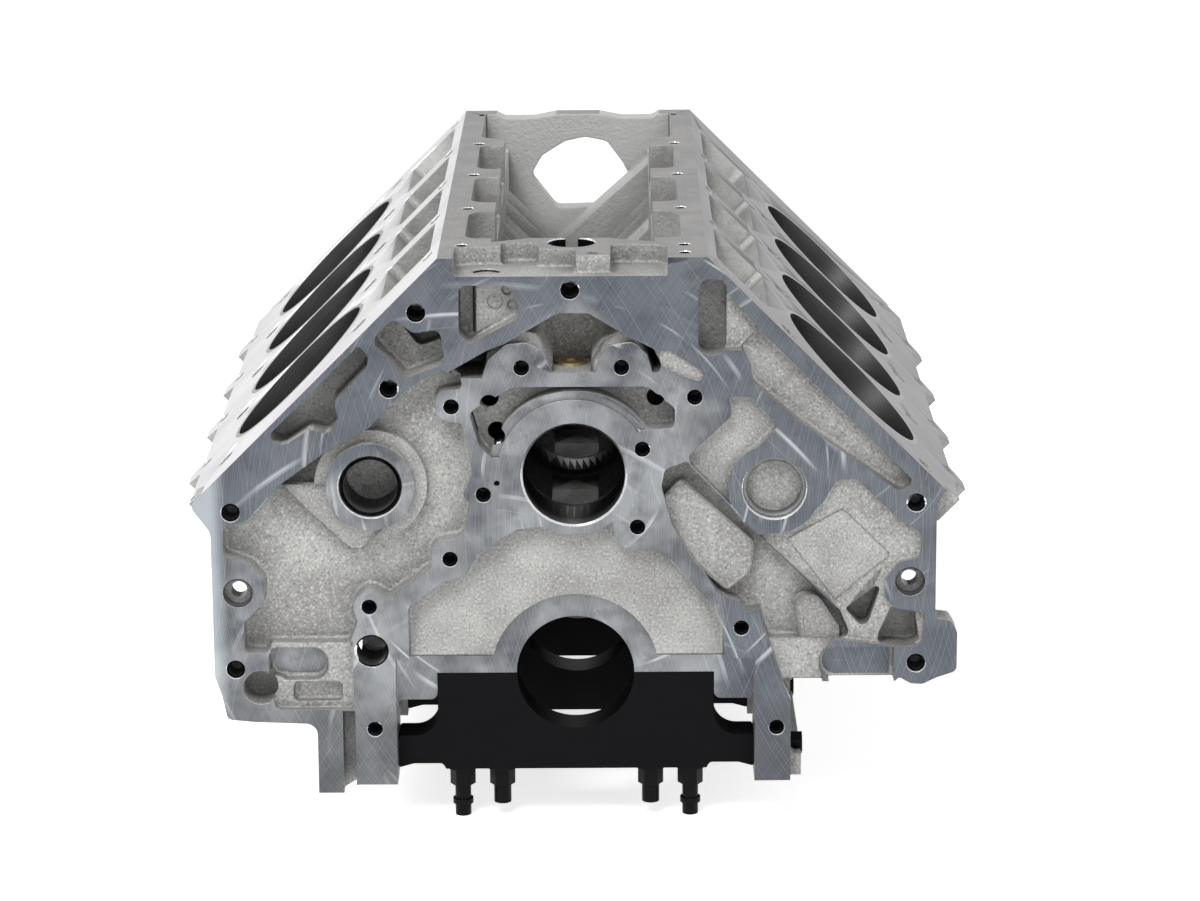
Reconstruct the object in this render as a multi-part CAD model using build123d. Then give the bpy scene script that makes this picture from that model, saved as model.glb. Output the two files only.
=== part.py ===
"""Bare aluminium V8 engine block with pressed-in liners and five six-bolt main caps.

Millimetres. +X is to the right seen from the front, +Y runs to the rear, +Z is up.
The shape is drawn from its machined front face, and every piece is then moved so that
the origin lies on the crankshaft axis, half way along the front main bearing.
"""
import os
from math import cos, radians, sin, sqrt

from build123d import *

# Cylinders and decks
BORE_RADIUS = 52.4
BORE_SPACING = 111.76
DECK_HEIGHT = 234.7
BANK_OFFSET = 24.0
BORES_PER_BANK = 4
LINER_WALL = 3.1
LINER_LENGTH = 139.7
DECK_EDGE = 85.0
DECK_EDGE_FRONT = 72.9
DECK_THICKNESS = 18.0
BANK_WALL = 70.0
LUG_REACH = 11.5
LUG_WIDTH = 34.0

# Crankshaft line
MAIN_RADIUS = 34.93
MAIN_WIDTH = 26.0
MAIN_1_Y = 27.0
MAINS = BORES_PER_BANK + 1
FACE_STEP_RADIUS = 50.0

# Camshaft tunnel
CAM_HEIGHT = 124.8
CAM_RADIUS = 30.0
CAM_RELIEF = 2.2
TUNNEL_WALL = 8.0
LIFTER_RADIUS = 10.7
LIFTER_SPREAD = 38.0
POCKET_INNER_T = 74.0
POCKET_OUTER_T = 116.0
POCKET_LENGTH = 86.0
POCKET_DEPTH = 48.7
POCKET_DRAFT = 16.0

# Valley and cover rails
RAIL_HALF_WIDTH = 77.9
RAIL_BOLT_X = 65.0
VALLEY_HALF_WIDTH = 48.0
VALLEY_FLOOR_T = 106.0
RAIL_WALL = 14.0
SCALLOP_DEPTH = 27.0
POST_LENGTH = 28.0
CROSSBAR_DEPTH = 50.0
REAR_WALL = 16.0

# Skirts and pan rail
SKIRT_INNER = 112.0
CAP_SEAT_X = 106.0
SKIRT_OUTER = 127.3
PAN_RAIL_X = 134.0
PAN_Z = -63.5
PAN_RAIL_HEIGHT = 13.5
REGISTER_X = 82.3
BULKHEAD_FOOT = 16.5
BAY_ROOF = 86.0

# Front plate, field floors and rear flange
PLATE = 20.0
FIELD_DEPTH = 14.0
APRON_DEPTH = 9.0
PAD_DEPTH = 3.5
ARCH_DEPTH = 36.0
CHEST_DEPTH = 16.0
RIGHT_RECESS_DEPTH = 8.5
LEFT_RECESS_DEPTH = 24.0
BACK_FACE_STEP = 17.0

# Threads and drilled holes
FACE_THREAD = 4.4
COVER_THREAD = 3.6
HEAD_THREAD = 5.5
HEAD_BOLT_T = 57.0
SMALL_HEAD_THREAD = 4.0
SMALL_BOLT_T = 114.5
OUTER_BOLT_T = 81.0
RAIL_THREAD = 3.4
PAN_THREAD = 4.0
THREAD_DEPTH = 20.0

# Main caps and their fasteners
CAP_WIDTH = 24.0
CAP_BOTTOM = -60.5
CAP_CLEARANCE = 0.05
WING_TOP = -39.5
WING_FILLET = 14.0
STUD_HOLE_CLEARANCE = 0.3
INNER_STUD_X = 44.5
INNER_STUD_RADIUS = 5.2
INNER_STUD_TIP = -85.0
OUTER_STUD_X = 68.3
OUTER_STUD_RADIUS = 4.75
OUTER_STUD_TIP = -93.0
STUD_DEPTH = 45.0
COLLAR_RADIUS = 6.1
COLLAR_HEIGHT = 3.2
NUT_RADIUS = 7.6
NUT_HEIGHT = 10.5
WASHER_RADIUS = 9.5
WASHER_HEIGHT = 2.5
CROSS_BOLT_Z = -49.0
CROSS_BOLT_RADIUS = 4.0
CROSS_HEAD_RADIUS = 7.0
CROSS_HEAD_HEIGHT = 8.0
CROSS_BOLT_GRIP = 20.0
CROSS_SPOT_RADIUS = 9.0

# Core plugs and bell housing pins
CORE_PLUG_RADIUS = 17.5
CORE_PLUG_DEPTH = 7.0
CORE_PLUG_WALL = 1.6
PIN_RADIUS = 6.5
PIN_LENGTH = 24.0

ROOT2 = sqrt(2)
OVER = 1.0
DECK_SUM = DECK_HEIGHT * ROOT2
TOP_Z = DECK_SUM - RAIL_HALF_WIDTH
REAR_MAIN_Y = MAIN_1_Y + BORES_PER_BANK * BORE_SPACING
LENGTH = REAR_MAIN_Y + MAIN_WIDTH / 2 + BACK_FACE_STEP
FLANGE_FRONT = LENGTH - REAR_WALL
LINER_RADIUS = BORE_RADIUS + LINER_WALL
TUNNEL_RADIUS = CAM_RADIUS + TUNNEL_WALL
LINER_FOOT = DECK_HEIGHT - LINER_LENGTH
MAIN_YS = [MAIN_1_Y + i * BORE_SPACING for i in range(MAINS)]
SIDES = {"right": 1, "left": -1}


def bore_y(side, i):
    """Distance of a cylinder's axis from the front face."""
    middle = MAIN_1_Y + (i + 0.5) * BORE_SPACING
    return middle - side * BANK_OFFSET / 2


def head_row_y(side, i):
    """Distance of a row of head bolts from the front face."""
    return bore_y(side, i) - BORE_SPACING / 2


def at_bank(side, s, t):
    """X and Z of a point s up along the cylinder axes and t across them, towards the valley."""
    return side * (s - t) / ROOT2, (s + t) / ROOT2


def below_deck(side, drop, t):
    """X and Z of a point a given drop below a deck face."""
    return at_bank(side, DECK_HEIGHT - drop, t)


def outline(*points):
    """Closed outline of (x, z) points, with a fillet radius where a point has a third value."""
    corners = [(point[0], point[1]) for point in points]
    radii = [point[2] if len(point) > 2 else 0 for point in points]
    return make_face(FilletPolyline(*corners, radius=radii, close=True))


def mirrored(*points):
    """Closed outline from its right half, listed from the top to the bottom."""
    left = [(-point[0], *point[1:]) for point in reversed(points)]
    return outline(*points, *left)


def slab(face, front, back):
    """A face drawn in X and Z, made solid between two distances from the front face."""
    plane = Plane(origin=(0, front, 0), x_dir=(1, 0, 0), z_dir=(0, -1, 0))
    return extrude(plane * face, amount=back - front, dir=(0, 1, 0))


def pocket(depth, *points):
    """A recess of a given depth in the front face."""
    return slab(outline(*points), -OVER, depth)


def facing(x, y, z, direction):
    """A plane at a point that looks along a direction."""
    return Plane(origin=(x, y, z), z_dir=direction)


def on_bank(side, y, s, t):
    """A plane across a bank's cylinders: local X runs along the block, local Y to the valley."""
    x, z = at_bank(side, s, t)
    return Plane(origin=(x, y, z), x_dir=(0, side, 0), z_dir=(side, 0, 1))


def drill(plane, radius, depth, over=OVER):
    """A round hole that goes down from a plane."""
    tool = Cylinder(radius, depth + over, align=(Align.CENTER, Align.CENTER, Align.MAX))
    return plane.offset(over) * tool


def rod(radius, front, back, x=0.0, z=0.0):
    """A round bar along the block."""
    return drill(facing(x, front, z, (0, -1, 0)), radius, back - front, 0)


def body_section():
    """Section of the block behind its front plate, solid inside."""
    return mirrored(
        (RAIL_HALF_WIDTH, TOP_Z),
        below_deck(1, 0, -DECK_EDGE),
        below_deck(1, DECK_THICKNESS, -DECK_EDGE),
        (*below_deck(1, DECK_THICKNESS, -BANK_WALL), 5),
        (SKIRT_OUTER, SKIRT_OUTER - BANK_WALL * ROOT2, 12),
        (SKIRT_OUTER, PAN_Z + PAN_RAIL_HEIGHT, 4),
        (PAN_RAIL_X, PAN_Z + PAN_RAIL_HEIGHT),
        (PAN_RAIL_X, PAN_Z),
    )


def front_plate():
    """Machined front plate with its ears, legs and lower left bracket."""
    right = [
        (RAIL_HALF_WIDTH, TOP_Z),
        below_deck(1, 0, -DECK_EDGE_FRONT),
        (212, 106, 4),
        (212, 37, 3),
        (225, 33, 5),
        (225, 0, 3),
        (210, -3, 3),
        (201, -5, 4),
        (190, -1),
        (122, -1),
        (SKIRT_OUTER, -14),
        (SKIRT_OUTER, PAN_Z),
    ]
    left = [
        (-CAP_SEAT_X, PAN_Z - 1.5),
        (-130, PAN_Z - 1.5, 4),
        (-138, PAN_Z - 6.5),
        (-153, PAN_Z - 6.5),
        (-153, -27, 7),
        (-190, -26, 6),
        (-208, -24, 5),
        (-213, 3, 6),
        (-213, 90, 10),
        (-224, 106, 5),
        (-221, 113),
        below_deck(-1, 0, -DECK_EDGE_FRONT),
        (-RAIL_HALF_WIDTH, TOP_Z),
    ]
    return slab(outline(*right, *left), 0, PLATE)


def rear_flange():
    """Flange for the bell housing."""
    face = mirrored(
        (RAIL_HALF_WIDTH, TOP_Z),
        below_deck(1, 0, -DECK_EDGE_FRONT),
        (213, 104, 6),
        (213, 30, 8),
        (222, 22, 6),
        (222, -6, 8),
        (196, -12, 8),
        (146, 6, 12),
        (PAN_RAIL_X, -20, 6),
        (PAN_RAIL_X, PAN_Z),
    )
    return slab(face, FLANGE_FRONT, LENGTH)


def deck_lugs(side):
    """Scalloped lugs along the outer edge of a deck, one for each outer head bolt."""
    half = LUG_WIDTH / 2
    lug = outline(
        (-half, OVER),
        (-half * 0.62, -LUG_REACH, 6),
        (half * 0.62, -LUG_REACH, 6),
        (half, OVER),
    )
    return [
        extrude(on_bank(side, bore_y(side, i), DECK_HEIGHT, -DECK_EDGE) * lug,
                amount=DECK_THICKNESS, dir=(-side, 0, -1))
        for i in range(BORES_PER_BANK)
    ]


def skirt_ribs(side):
    """Upright ribs outside each main bulkhead, from the bank down to the pan rail."""
    foot = SKIRT_OUTER - 1
    wall = outline(
        (foot, PAN_Z),
        (PAN_RAIL_X, PAN_Z),
        (PAN_RAIL_X, -2, 10),
        (152, 22, 10),
        (152, 36),
        (foot, SKIRT_OUTER - BANK_WALL * ROOT2 - OVER),
    )
    half = 7.0
    ribs = [slab(wall, y - half, y + half) for y in MAIN_YS[1:-1]]
    return ribs if side > 0 else [mirror(rib, about=Plane.YZ) for rib in ribs]


MOUNT_PAD = {"y": (196.0, 284.0), "z": (-22.0, 16.0), "x": 137.0, "radius": 12.0, "thread": 5.0}


def mount_bosses(side):
    """Round bosses that carry the engine mount brackets."""
    return [
        drill(facing(side * MOUNT_PAD["x"], y, z, (side, 0, 0)), MOUNT_PAD["radius"],
              MOUNT_PAD["x"] - SKIRT_OUTER + OVER, 0)
        for y in MOUNT_PAD["y"]
        for z in MOUNT_PAD["z"]
    ]


def crankcase():
    """Everything that is open under the cylinders: cap registers, bays and the front step."""
    low = PAN_Z - 10
    register = mirrored(
        (REGISTER_X, 0),
        (REGISTER_X, -BULKHEAD_FOOT, 4),
        (CAP_SEAT_X, -BULKHEAD_FOOT, 4),
        (CAP_SEAT_X, low),
    )
    bay = mirrored(
        (16, BAY_ROOF),
        (*at_bank(1, LINER_FOOT, LINER_FOOT - 74.0), 4),
        (SKIRT_INNER, LINER_FOOT * ROOT2 - SKIRT_INNER, 8),
        (SKIRT_INNER, low),
    )
    half = MAIN_WIDTH / 2
    bays = [
        slab(bay, MAIN_YS[i] + half, MAIN_YS[i + 1] - half)
        for i in range(BORES_PER_BANK)
    ]
    step = mirrored((CAP_SEAT_X, 12.5), (CAP_SEAT_X, low))
    front = slab(step, -OVER, MAIN_1_Y - half)
    ring = rod(FACE_STEP_RADIUS, -OVER, MAIN_1_Y - half)
    seal = mirrored(
        (58, 92, 10),
        (CAP_SEAT_X, 40, 12),
        (CAP_SEAT_X, low),
    )
    rear = slab(seal, REAR_MAIN_Y + half, LENGTH + OVER)
    return [slab(register, -OVER, LENGTH + OVER), *bays, front, ring, rear]


def valley():
    """The open valley between the banks, with pockets between the rail posts."""
    back = FLANGE_FRONT
    vee = mirrored(
        (VALLEY_HALF_WIDTH, TOP_Z + OVER),
        (VALLEY_HALF_WIDTH, VALLEY_HALF_WIDTH + VALLEY_FLOOR_T * ROOT2, 6),
        (6, 6 + VALLEY_FLOOR_T * ROOT2),
    )
    channel = slab(vee, CROSSBAR_DEPTH, back) - rod(TUNNEL_RADIUS, 0, LENGTH, z=CAM_HEIGHT)
    pockets = []
    posts = [bolt_row_y(i) for i in range(MAINS)]
    for front, rear in zip(posts, posts[1:]):
        length = rear - front - POST_LENGTH
        plan = RectangleRounded(2 * (RAIL_HALF_WIDTH - RAIL_WALL), length, 7)
        level = Plane(origin=(0, (front + rear) / 2, TOP_Z + OVER))
        pockets.append(extrude(level * plan, amount=-(SCALLOP_DEPTH + OVER)))
    return [channel, *pockets]


def bolt_row_y(i):
    """Distance of a pair of valley cover bolts from the front face."""
    return MAIN_1_Y + 11.0 + i * BORE_SPACING


def rear_window():
    """Opening in the rear wall at the back of the valley."""
    face = outline(
        (-11, TOP_Z - 67, 8), (23, TOP_Z - 67, 8), (38, TOP_Z - 50, 14), (36, TOP_Z - 28, 14),
        (12, TOP_Z - 18, 10), (-14, TOP_Z - 18, 10), (-32, TOP_Z - 34, 14), (-31, TOP_Z - 52, 12),
    )
    return slab(face, FLANGE_FRONT - OVER, LENGTH + OVER)


def cam_tunnel():
    """Bored lands at the five cam bearings with a larger relief between them."""
    half = MAIN_WIDTH / 2
    reliefs = [
        rod(CAM_RADIUS + CAM_RELIEF, MAIN_YS[i] + half, MAIN_YS[i + 1] - half, z=CAM_HEIGHT)
        for i in range(BORES_PER_BANK)
    ]
    window = mirrored((14, CAM_HEIGHT), (14, BAY_ROOF - OVER))
    slots = [
        slab(window, MAIN_YS[i] + 2 * half, MAIN_YS[i + 1] - 2 * half)
        for i in range(BORES_PER_BANK)
    ]
    drains = []
    for i in range(BORES_PER_BANK):
        level = Plane(origin=(0, (MAIN_YS[i] + MAIN_YS[i + 1]) / 2, CAM_HEIGHT))
        drains.append(extrude(level * RectangleRounded(14, 44, 6), amount=TUNNEL_RADIUS + OVER))
    return [rod(CAM_RADIUS, -OVER, LENGTH + OVER, z=CAM_HEIGHT), *reliefs, *slots, *drains]


def cylinders(side):
    """Bores for the liners, and the rod clearance cut on below each liner."""
    tools = []
    for i in range(BORES_PER_BANK):
        deck = on_bank(side, bore_y(side, i), DECK_HEIGHT, 0)
        tools.append(drill(deck, LINER_RADIUS, LINER_LENGTH))
        tools.append(drill(deck, BORE_RADIUS, LINER_LENGTH + 35))
    return tools


def lifter_pockets(side):
    """Pockets in the deck that hold the lifters and trays, with the lifter bores below."""
    floor = DECK_HEIGHT - POCKET_DEPTH
    top = DECK_HEIGHT + OVER
    section = outline(
        at_bank(side, top, POCKET_INNER_T),
        at_bank(side, floor, POCKET_INNER_T),
        at_bank(side, floor, POCKET_OUTER_T - POCKET_DRAFT),
        at_bank(side, top, POCKET_OUTER_T),
    )
    middle_t = (POCKET_INNER_T + POCKET_OUTER_T) / 2
    width = POCKET_OUTER_T - POCKET_INNER_T + 2 * OVER
    tools = []
    for i in range(BORES_PER_BANK):
        y = bore_y(side, i)
        plan = RectangleRounded(POCKET_LENGTH, width, 7)
        block = extrude(on_bank(side, y, floor - OVER, middle_t) * plan,
                        amount=POCKET_DEPTH + 4, dir=(side, 0, 1))
        tools.append(block & slab(section, y - POCKET_LENGTH, y + POCKET_LENGTH))
        for step in (-0.5, 0.5):
            t = CAM_HEIGHT / ROOT2
            hole = on_bank(side, y + step * LIFTER_SPREAD, floor, t)
            tools.append(drill(hole, LIFTER_RADIUS, floor - t))
    return tools


def deck_holes(side):
    """Head bolt threads: five rows between the bores, and one outer hole at each bore."""
    tools = []
    for i in range(MAINS):
        y = head_row_y(side, i)
        for t in (-HEAD_BOLT_T, HEAD_BOLT_T):
            tools.append(drill(on_bank(side, y, DECK_HEIGHT, t), HEAD_THREAD, 3 * THREAD_DEPTH))
        small = on_bank(side, y, DECK_HEIGHT, SMALL_BOLT_T)
        tools.append(drill(small, SMALL_HEAD_THREAD, THREAD_DEPTH))
    for i in range(BORES_PER_BANK):
        outer = on_bank(side, bore_y(side, i), DECK_HEIGHT, -OUTER_BOLT_T)
        tools.append(drill(outer, SMALL_HEAD_THREAD, DECK_THICKNESS - 2))
    return tools


def rail_and_pan_holes():
    """Threads for the valley cover and for the oil pan."""
    tools = []
    up, down = (0, 0, 1), (0, 0, -1)
    for i in range(MAINS):
        for x in (-RAIL_BOLT_X, RAIL_BOLT_X):
            tools.append(drill(facing(x, bolt_row_y(i), TOP_Z, up), RAIL_THREAD, THREAD_DEPTH))
    for x in FRONT_BOLT_XS:
        tools.append(drill(facing(x, FRONT_BOLT_Y, TOP_Z, up), RAIL_THREAD, FRONT_BOLT_DEPTH))
    for y in PAN_BOLT_YS:
        for x in (-PAN_BOLT_X, PAN_BOLT_X):
            tools.append(drill(facing(x, y, PAN_Z, down), PAN_THREAD, THREAD_DEPTH))
    return tools


PAN_BOLT_X = (CAP_SEAT_X + PAN_RAIL_X) / 2
PAN_BOLT_YS = [MAIN_1_Y + (i + 0.5) * BORE_SPACING for i in range(BORES_PER_BANK)]

# Two valley cover bolts at the front, one in the middle post and one in the right rail
FRONT_BOLT_XS = (12.0, RAIL_BOLT_X)
FRONT_BOLT_Y = 15.0
FRONT_BOLT_DEPTH = 12.0
FRONT_POST_HALF = 10.0
FRONT_POST_LIP = 7.0

# Threads in the machined front face, outside the timing cover
FACE_HOLES = [
    (-1.5, TOP_Z - 19), (-90.5, TOP_Z - 32), (-107, TOP_Z - 77),
]
EAR_THREADS = [(-201, 103), (-200.5, 7), (200, 107), (201, 9)]
EAR_THREAD_FLOOR = 4.0
# Threads in the timing cover flange
COVER_HOLES = [
    (-30, 189), (28, 189), (70.5, 171), (-71, 166), (40, 140), (-53, 113), (37, 93),
    (-73, 74), (98, 31), (-121, 45), (119, -30.5), (-119, -30.5),
]
# Long bolts that pass right through the ears
EAR_HOLES = [(-198, 54), (197, 59)]
EAR_COUNTERBORE = 8.3
EAR_BORE = 4.8
EAR_COUNTERBORE_DEPTH = 9.0
LEFT_PORT = (-119, 118)
RIGHT_PORT = (117, 116)
PORT_BORE = 16.0
PORT_CHAMFER_RADIUS = 19.0


def face_holes():
    """Drilled and threaded holes in the front face."""
    ahead = (0, -1, 0)
    tools = [drill(facing(x, 0, z, ahead), FACE_THREAD, THREAD_DEPTH + 5) for x, z in FACE_HOLES]
    tools += [
        drill(facing(x, 0, z, ahead), FACE_THREAD, PLATE - EAR_THREAD_FLOOR) for x, z in EAR_THREADS
    ]
    tools += [drill(facing(x, 0, z, ahead), COVER_THREAD, THREAD_DEPTH) for x, z in COVER_HOLES]
    for x, z in EAR_HOLES:
        plane = facing(x, 0, z, ahead)
        tools.append(drill(plane, EAR_COUNTERBORE, EAR_COUNTERBORE_DEPTH))
        tools.append(drill(plane, EAR_BORE, PLATE + OVER))
    tools.append(drill(facing(-120, 0, 18, ahead), 9, 30))
    tools.append(drill(facing(-186, 0, -4, ahead), 10, PLATE - 2))
    for x, z, radius in ((-49, 168, 5.3), (-45, 148, 5.3), (48, 168, 5.3)):
        tools.append(drill(facing(x, CHEST_DEPTH, z, ahead), radius, 40))
    for (x, z), depth in ((LEFT_PORT, 34), (RIGHT_PORT, 11)):
        plane = facing(x, 0, z, ahead)
        tools.append(drill(plane, PORT_BORE, depth))
        mouth = Cone(PORT_BORE, PORT_CHAMFER_RADIUS, 4,
                     align=(Align.CENTER, Align.CENTER, Align.MAX))
        tools.append(plane * mouth)
    return tools


def top_band_pockets():
    """Recesses in the machined band across the top of the front face."""
    ribbed = pocket(
        12, (-66, TOP_Z - 16, 5), (-38, TOP_Z - 16, 4), (-32, TOP_Z - 24, 5),
        (-33, TOP_Z - 32, 5), (-60, TOP_Z - 50, 5), (-66, TOP_Z - 42, 5),
    )
    kidney = pocket(
        38, (-117, TOP_Z - 49.5, 6), (-104, TOP_Z - 35, 5), (-92, TOP_Z - 44, 6),
        (-78, TOP_Z - 42, 5), (-74, TOP_Z - 62, 5), (-97, TOP_Z - 70, 5),
    )
    tall = pocket(
        22, (72, TOP_Z - 14, 5), (89, TOP_Z - 14, 5), (89, TOP_Z - 58, 7), (72, TOP_Z - 58, 7),
    )
    step = pocket(
        8, (88, TOP_Z - 20), (107, TOP_Z - 41, 3), (96, TOP_Z - 55, 3), (88, TOP_Z - 55),
    )
    long_right = pocket(
        RIGHT_RECESS_DEPTH,
        (*below_deck(1, 9, 73), 3), (*below_deck(1, 25, 73), 3), (*below_deck(1, 33, 54), 4),
        (*below_deck(1, 31, 34), 20), (*below_deck(1, 19, -55), 4), (*below_deck(1, 9, -56), 5),
    )
    deck_left = pocket(
        LEFT_RECESS_DEPTH,
        (*below_deck(-1, 3.5, 54), 2), (*below_deck(-1, 14, 54), 3), (*below_deck(-1, 18, 21), 4),
        (*below_deck(-1, 29, 14), 3), (*below_deck(-1, 29, 7), 3), (*below_deck(-1, 16, 0), 8),
        (*below_deck(-1, 14, -17), 5), (*below_deck(-1, 3.5, -22), 3),
    )
    return [ribbed, kidney, tall, step, long_right, deck_left]


def left_field():
    """Deep cast field left of the timing cover, with its ports and lump left standing."""
    field = pocket(
        FIELD_DEPTH,
        (*below_deck(-1, 56, 90), 4), (*below_deck(-1, 50, 70), 4), (*below_deck(-1, 42, 25), 8),
        (*below_deck(-1, 34, -3), 10), (*below_deck(-1, 24, -41), 6), (-190, 96, 6),
        (-205, 92, 5), (-205, 76, 5), (-190, 71, 6), (-182, 62, 6), (-181, 48, 4),
        (-195, 34, 4), (-195, 16, 5), (-182, 18, 3), (-181, 22, 2), (-133, 22, 3),
        (-128, 36), (-130, 48, 6), (-121, 57, 6), (-109, 52, 3), (-84, 69, 2),
        (-84, 84, 8), (-64, 88, 6), (-62, 112), (-58, 130), (-64, 155),
        (-80, 160, 6), (-79, 174, 6), (-64, 176, 4),
    )
    port = rod(27, -OVER, FIELD_DEPTH, *LEFT_PORT)
    lump = slab(
        outline((-166, 122), (-158, 106, 4), (-131, 79, 5), (-124, 80, 4), (-106, 98), (-119, 118)),
        6, FIELD_DEPTH,
    )
    return field - port - lump


def right_fields():
    """Cast fields right of the timing cover: upper shelf, raised pad, deep corner and pockets."""
    shelf = pocket(
        6, (88, 172, 3), (103, 171, 4), (120, 154, 4), (100, 134, 6), (91, 119, 6),
        (92, 104), (68, 132, 3), (87, 160, 3),
    )
    pad = pocket(
        PAD_DEPTH,
        (108, 88), (126, 90, 10), (143, 100, 10), (153, 121, 8), (165, 121, 3),
        (191, 96, 4), (203, 88, 5), (203, 74, 4), (190, 71, 5), (181, 58, 4),
        (206, 42), (204, 20, 5), (190, 19), (150, 24), (155, 41), (150, 48),
    )
    corner = pocket(
        FIELD_DEPTH,
        (66, 134, 2), (53, 128, 2), (52, 115, 8), (58, 95), (67, 81), (90, 50, 5),
        (109, 42), (113, 25), (123, -3), (146, -3, 4), (144, 8), (150, 20, 4),
        (164, 24, 6), (156, 41, 3),
    )
    port = rod(27, -OVER, FIELD_DEPTH, *RIGHT_PORT)
    notch = pocket(PLATE - 2, (182, 59, 2.5), (171, 29, 4), (159, 38, 3))
    hollow = pocket(PLATE - 2, (186, 41), (200, 40), (203, 22, 4), (196, 19, 4), (179, 22, 5))
    slot = pocket(12, (144, 19, 9), (188, 17), (188, -3), (144, -3, 9))
    return [shelf - port, pad - port, corner - port, notch, hollow, slot]


def timing_chest():
    """Recesses inside and above the timing cover flange."""
    arch = pocket(
        ARCH_DEPTH,
        (-81, 177, 4), (-45, 203, 4), (-20, 214, 6), (-8, 221, 6), (8, 221, 6), (26, 209, 4),
        (50, 200, 4), (53, 188, 4), (34, 174), (-36, 174), (-62, 178, 3),
    )
    for x, z in (COVER_HOLES[0], COVER_HOLES[1]):
        arch -= rod(14, -2 * OVER, ARCH_DEPTH + OVER, x, z)
    arch -= slab(outline((-36, 182), (36, 182), (36, 170), (-36, 170)), -2 * OVER, ARCH_DEPTH + OVER)
    window = pocket(
        CHEST_DEPTH, (-42, 178, 12), (42, 178, 12), (58, 166, 4), (58, 152, 4), (34, 153, 8),
        (34, 120), (-34, 120), (-38, 136, 6), (-56, 138, 6), (-56, 166, 5),
    )
    window -= rod(49, -2 * OVER, CHEST_DEPTH + OVER, z=CAM_HEIGHT)
    apron = pocket(
        APRON_DEPTH,
        (-98, 12), (-98, 44, 4), (-80, 60, 6), (-62, 66, 4), (-58, 76, 4), (-34, 92),
        (22, 98), (24, 86, 3), (31, 79, 5), (47, 79, 5), (57, 73), (79, 47, 8), (88, 30), (88, 12),
    )
    apron -= rod(CAM_RADIUS + 6, -2 * OVER, APRON_DEPTH + OVER, z=CAM_HEIGHT)
    return [arch, window, apron]


def lower_left_details():
    """Slot, ledge and step at the lower left of the front face."""
    sill = pocket(5, (-180, 24), (-131, 24), (-131, -18, 4), (-178, -18, 5))
    slot = pocket(13, (-181, 19, 5), (-146, 19, 9), (-146, -1, 9), (-172, -1), (-172, 0), (-181, 3))
    ledge = pocket(10, (-167, -2, 3), (-138, -2, 3), (-138, -14, 3), (-167, -14, 3))
    leg = pocket(12, (-138, -19), (-130.5, -19), (-130.5, -75), (-138, -75))
    return [sill, slot, ledge, leg]


def top_shelf():
    """Stepped notch in the top of the front crossbar."""
    depth = 11.0
    post = FRONT_BOLT_XS[0]
    lip = FRONT_BOLT_Y - FRONT_POST_LIP
    level = Plane(origin=(0, 0, TOP_Z - depth))
    plan = outline(
        (-69, -OVER), (-69, 30, 5), (-58, 34, 4), (-42, 34), (-42, 44, 4), (-20, 44, 4),
        (-20, 35, 4), (post - FRONT_POST_HALF, 35, 4), (post - FRONT_POST_HALF, lip),
        (post + FRONT_POST_HALF, lip), (post + FRONT_POST_HALF, 39, 4), (50, 38, 5), (55, 30),
        (55, -OVER),
    )
    shelf = extrude(level * plan, amount=depth + OVER)
    pad = Plane(origin=(-50, 17, TOP_Z - depth)) * Cylinder(8, 4)
    bore = drill(facing(-2, CROSSBAR_DEPTH, TOP_Z, (0, 0, 1)), 13.5, 40)
    return [shelf, pad, bore]


def side_holes(side):
    """Core plug bores, engine mount threads and cross bolt holes in a block side."""
    tools = []
    for y in core_plug_ys(side):
        plane = core_plug_plane(side, y)
        tools.append(drill(plane, CORE_PLUG_RADIUS, CORE_PLUG_DEPTH + 4))
    for y in MOUNT_PAD["y"]:
        for z in MOUNT_PAD["z"]:
            plane = facing(side * MOUNT_PAD["x"], y, z, (side, 0, 0))
            tools.append(drill(plane, MOUNT_PAD["thread"], THREAD_DEPTH))
    for y in MAIN_YS:
        plane = facing(side * SKIRT_OUTER, y, CROSS_BOLT_Z, (side, 0, 0))
        wall = SKIRT_OUTER - CAP_SEAT_X
        tools.append(drill(plane, CROSS_BOLT_RADIUS + STUD_HOLE_CLEARANCE, wall + OVER))
        tools.append(drill(plane, CROSS_SPOT_RADIUS, 0, CROSS_HEAD_HEIGHT + 4))
    return tools


def core_plug_ys(side):
    """Places of the core plugs along a bank."""
    return [bore_y(side, i) + BORE_SPACING / 2 for i in range(BORES_PER_BANK - 1)]


def core_plug_plane(side, y):
    """Plane of a core plug on the outer wall of a bank, looking outward."""
    x, z = at_bank(side, DECK_HEIGHT - 75, -BANK_WALL)
    return facing(x, y, z, (side, 0, -1))


def stud_holes():
    """Threaded holes for the main studs, up from the bearing parting face."""
    tools = []
    for y in MAIN_YS:
        for x, radius in ((INNER_STUD_X, INNER_STUD_RADIUS), (OUTER_STUD_X, OUTER_STUD_RADIUS)):
            for side in SIDES.values():
                plane = facing(side * x, y, 0, (0, 0, -1))
                tools.append(drill(plane, radius, STUD_DEPTH))
    return tools


# Bell housing threads and dowel holes in the rear flange
REAR_HOLES = [(60, 240), (133, 166), (200, 104), (207, 8)]
REAR_THREAD_DEPTH = REAR_WALL - 1.0
REAR_DOWEL = (176, 128)


def rear_holes():
    """Bell housing threads and dowel holes."""
    tools = []
    for side in SIDES.values():
        for x, z in REAR_HOLES:
            plane = facing(side * x, LENGTH, z, (0, 1, 0))
            tools.append(drill(plane, HEAD_THREAD - 0.5, REAR_THREAD_DEPTH))
        x, z = REAR_DOWEL
        tools.append(drill(facing(side * x, LENGTH, z, (0, 1, 0)), PIN_RADIUS, PIN_LENGTH / 2))
    return tools


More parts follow.
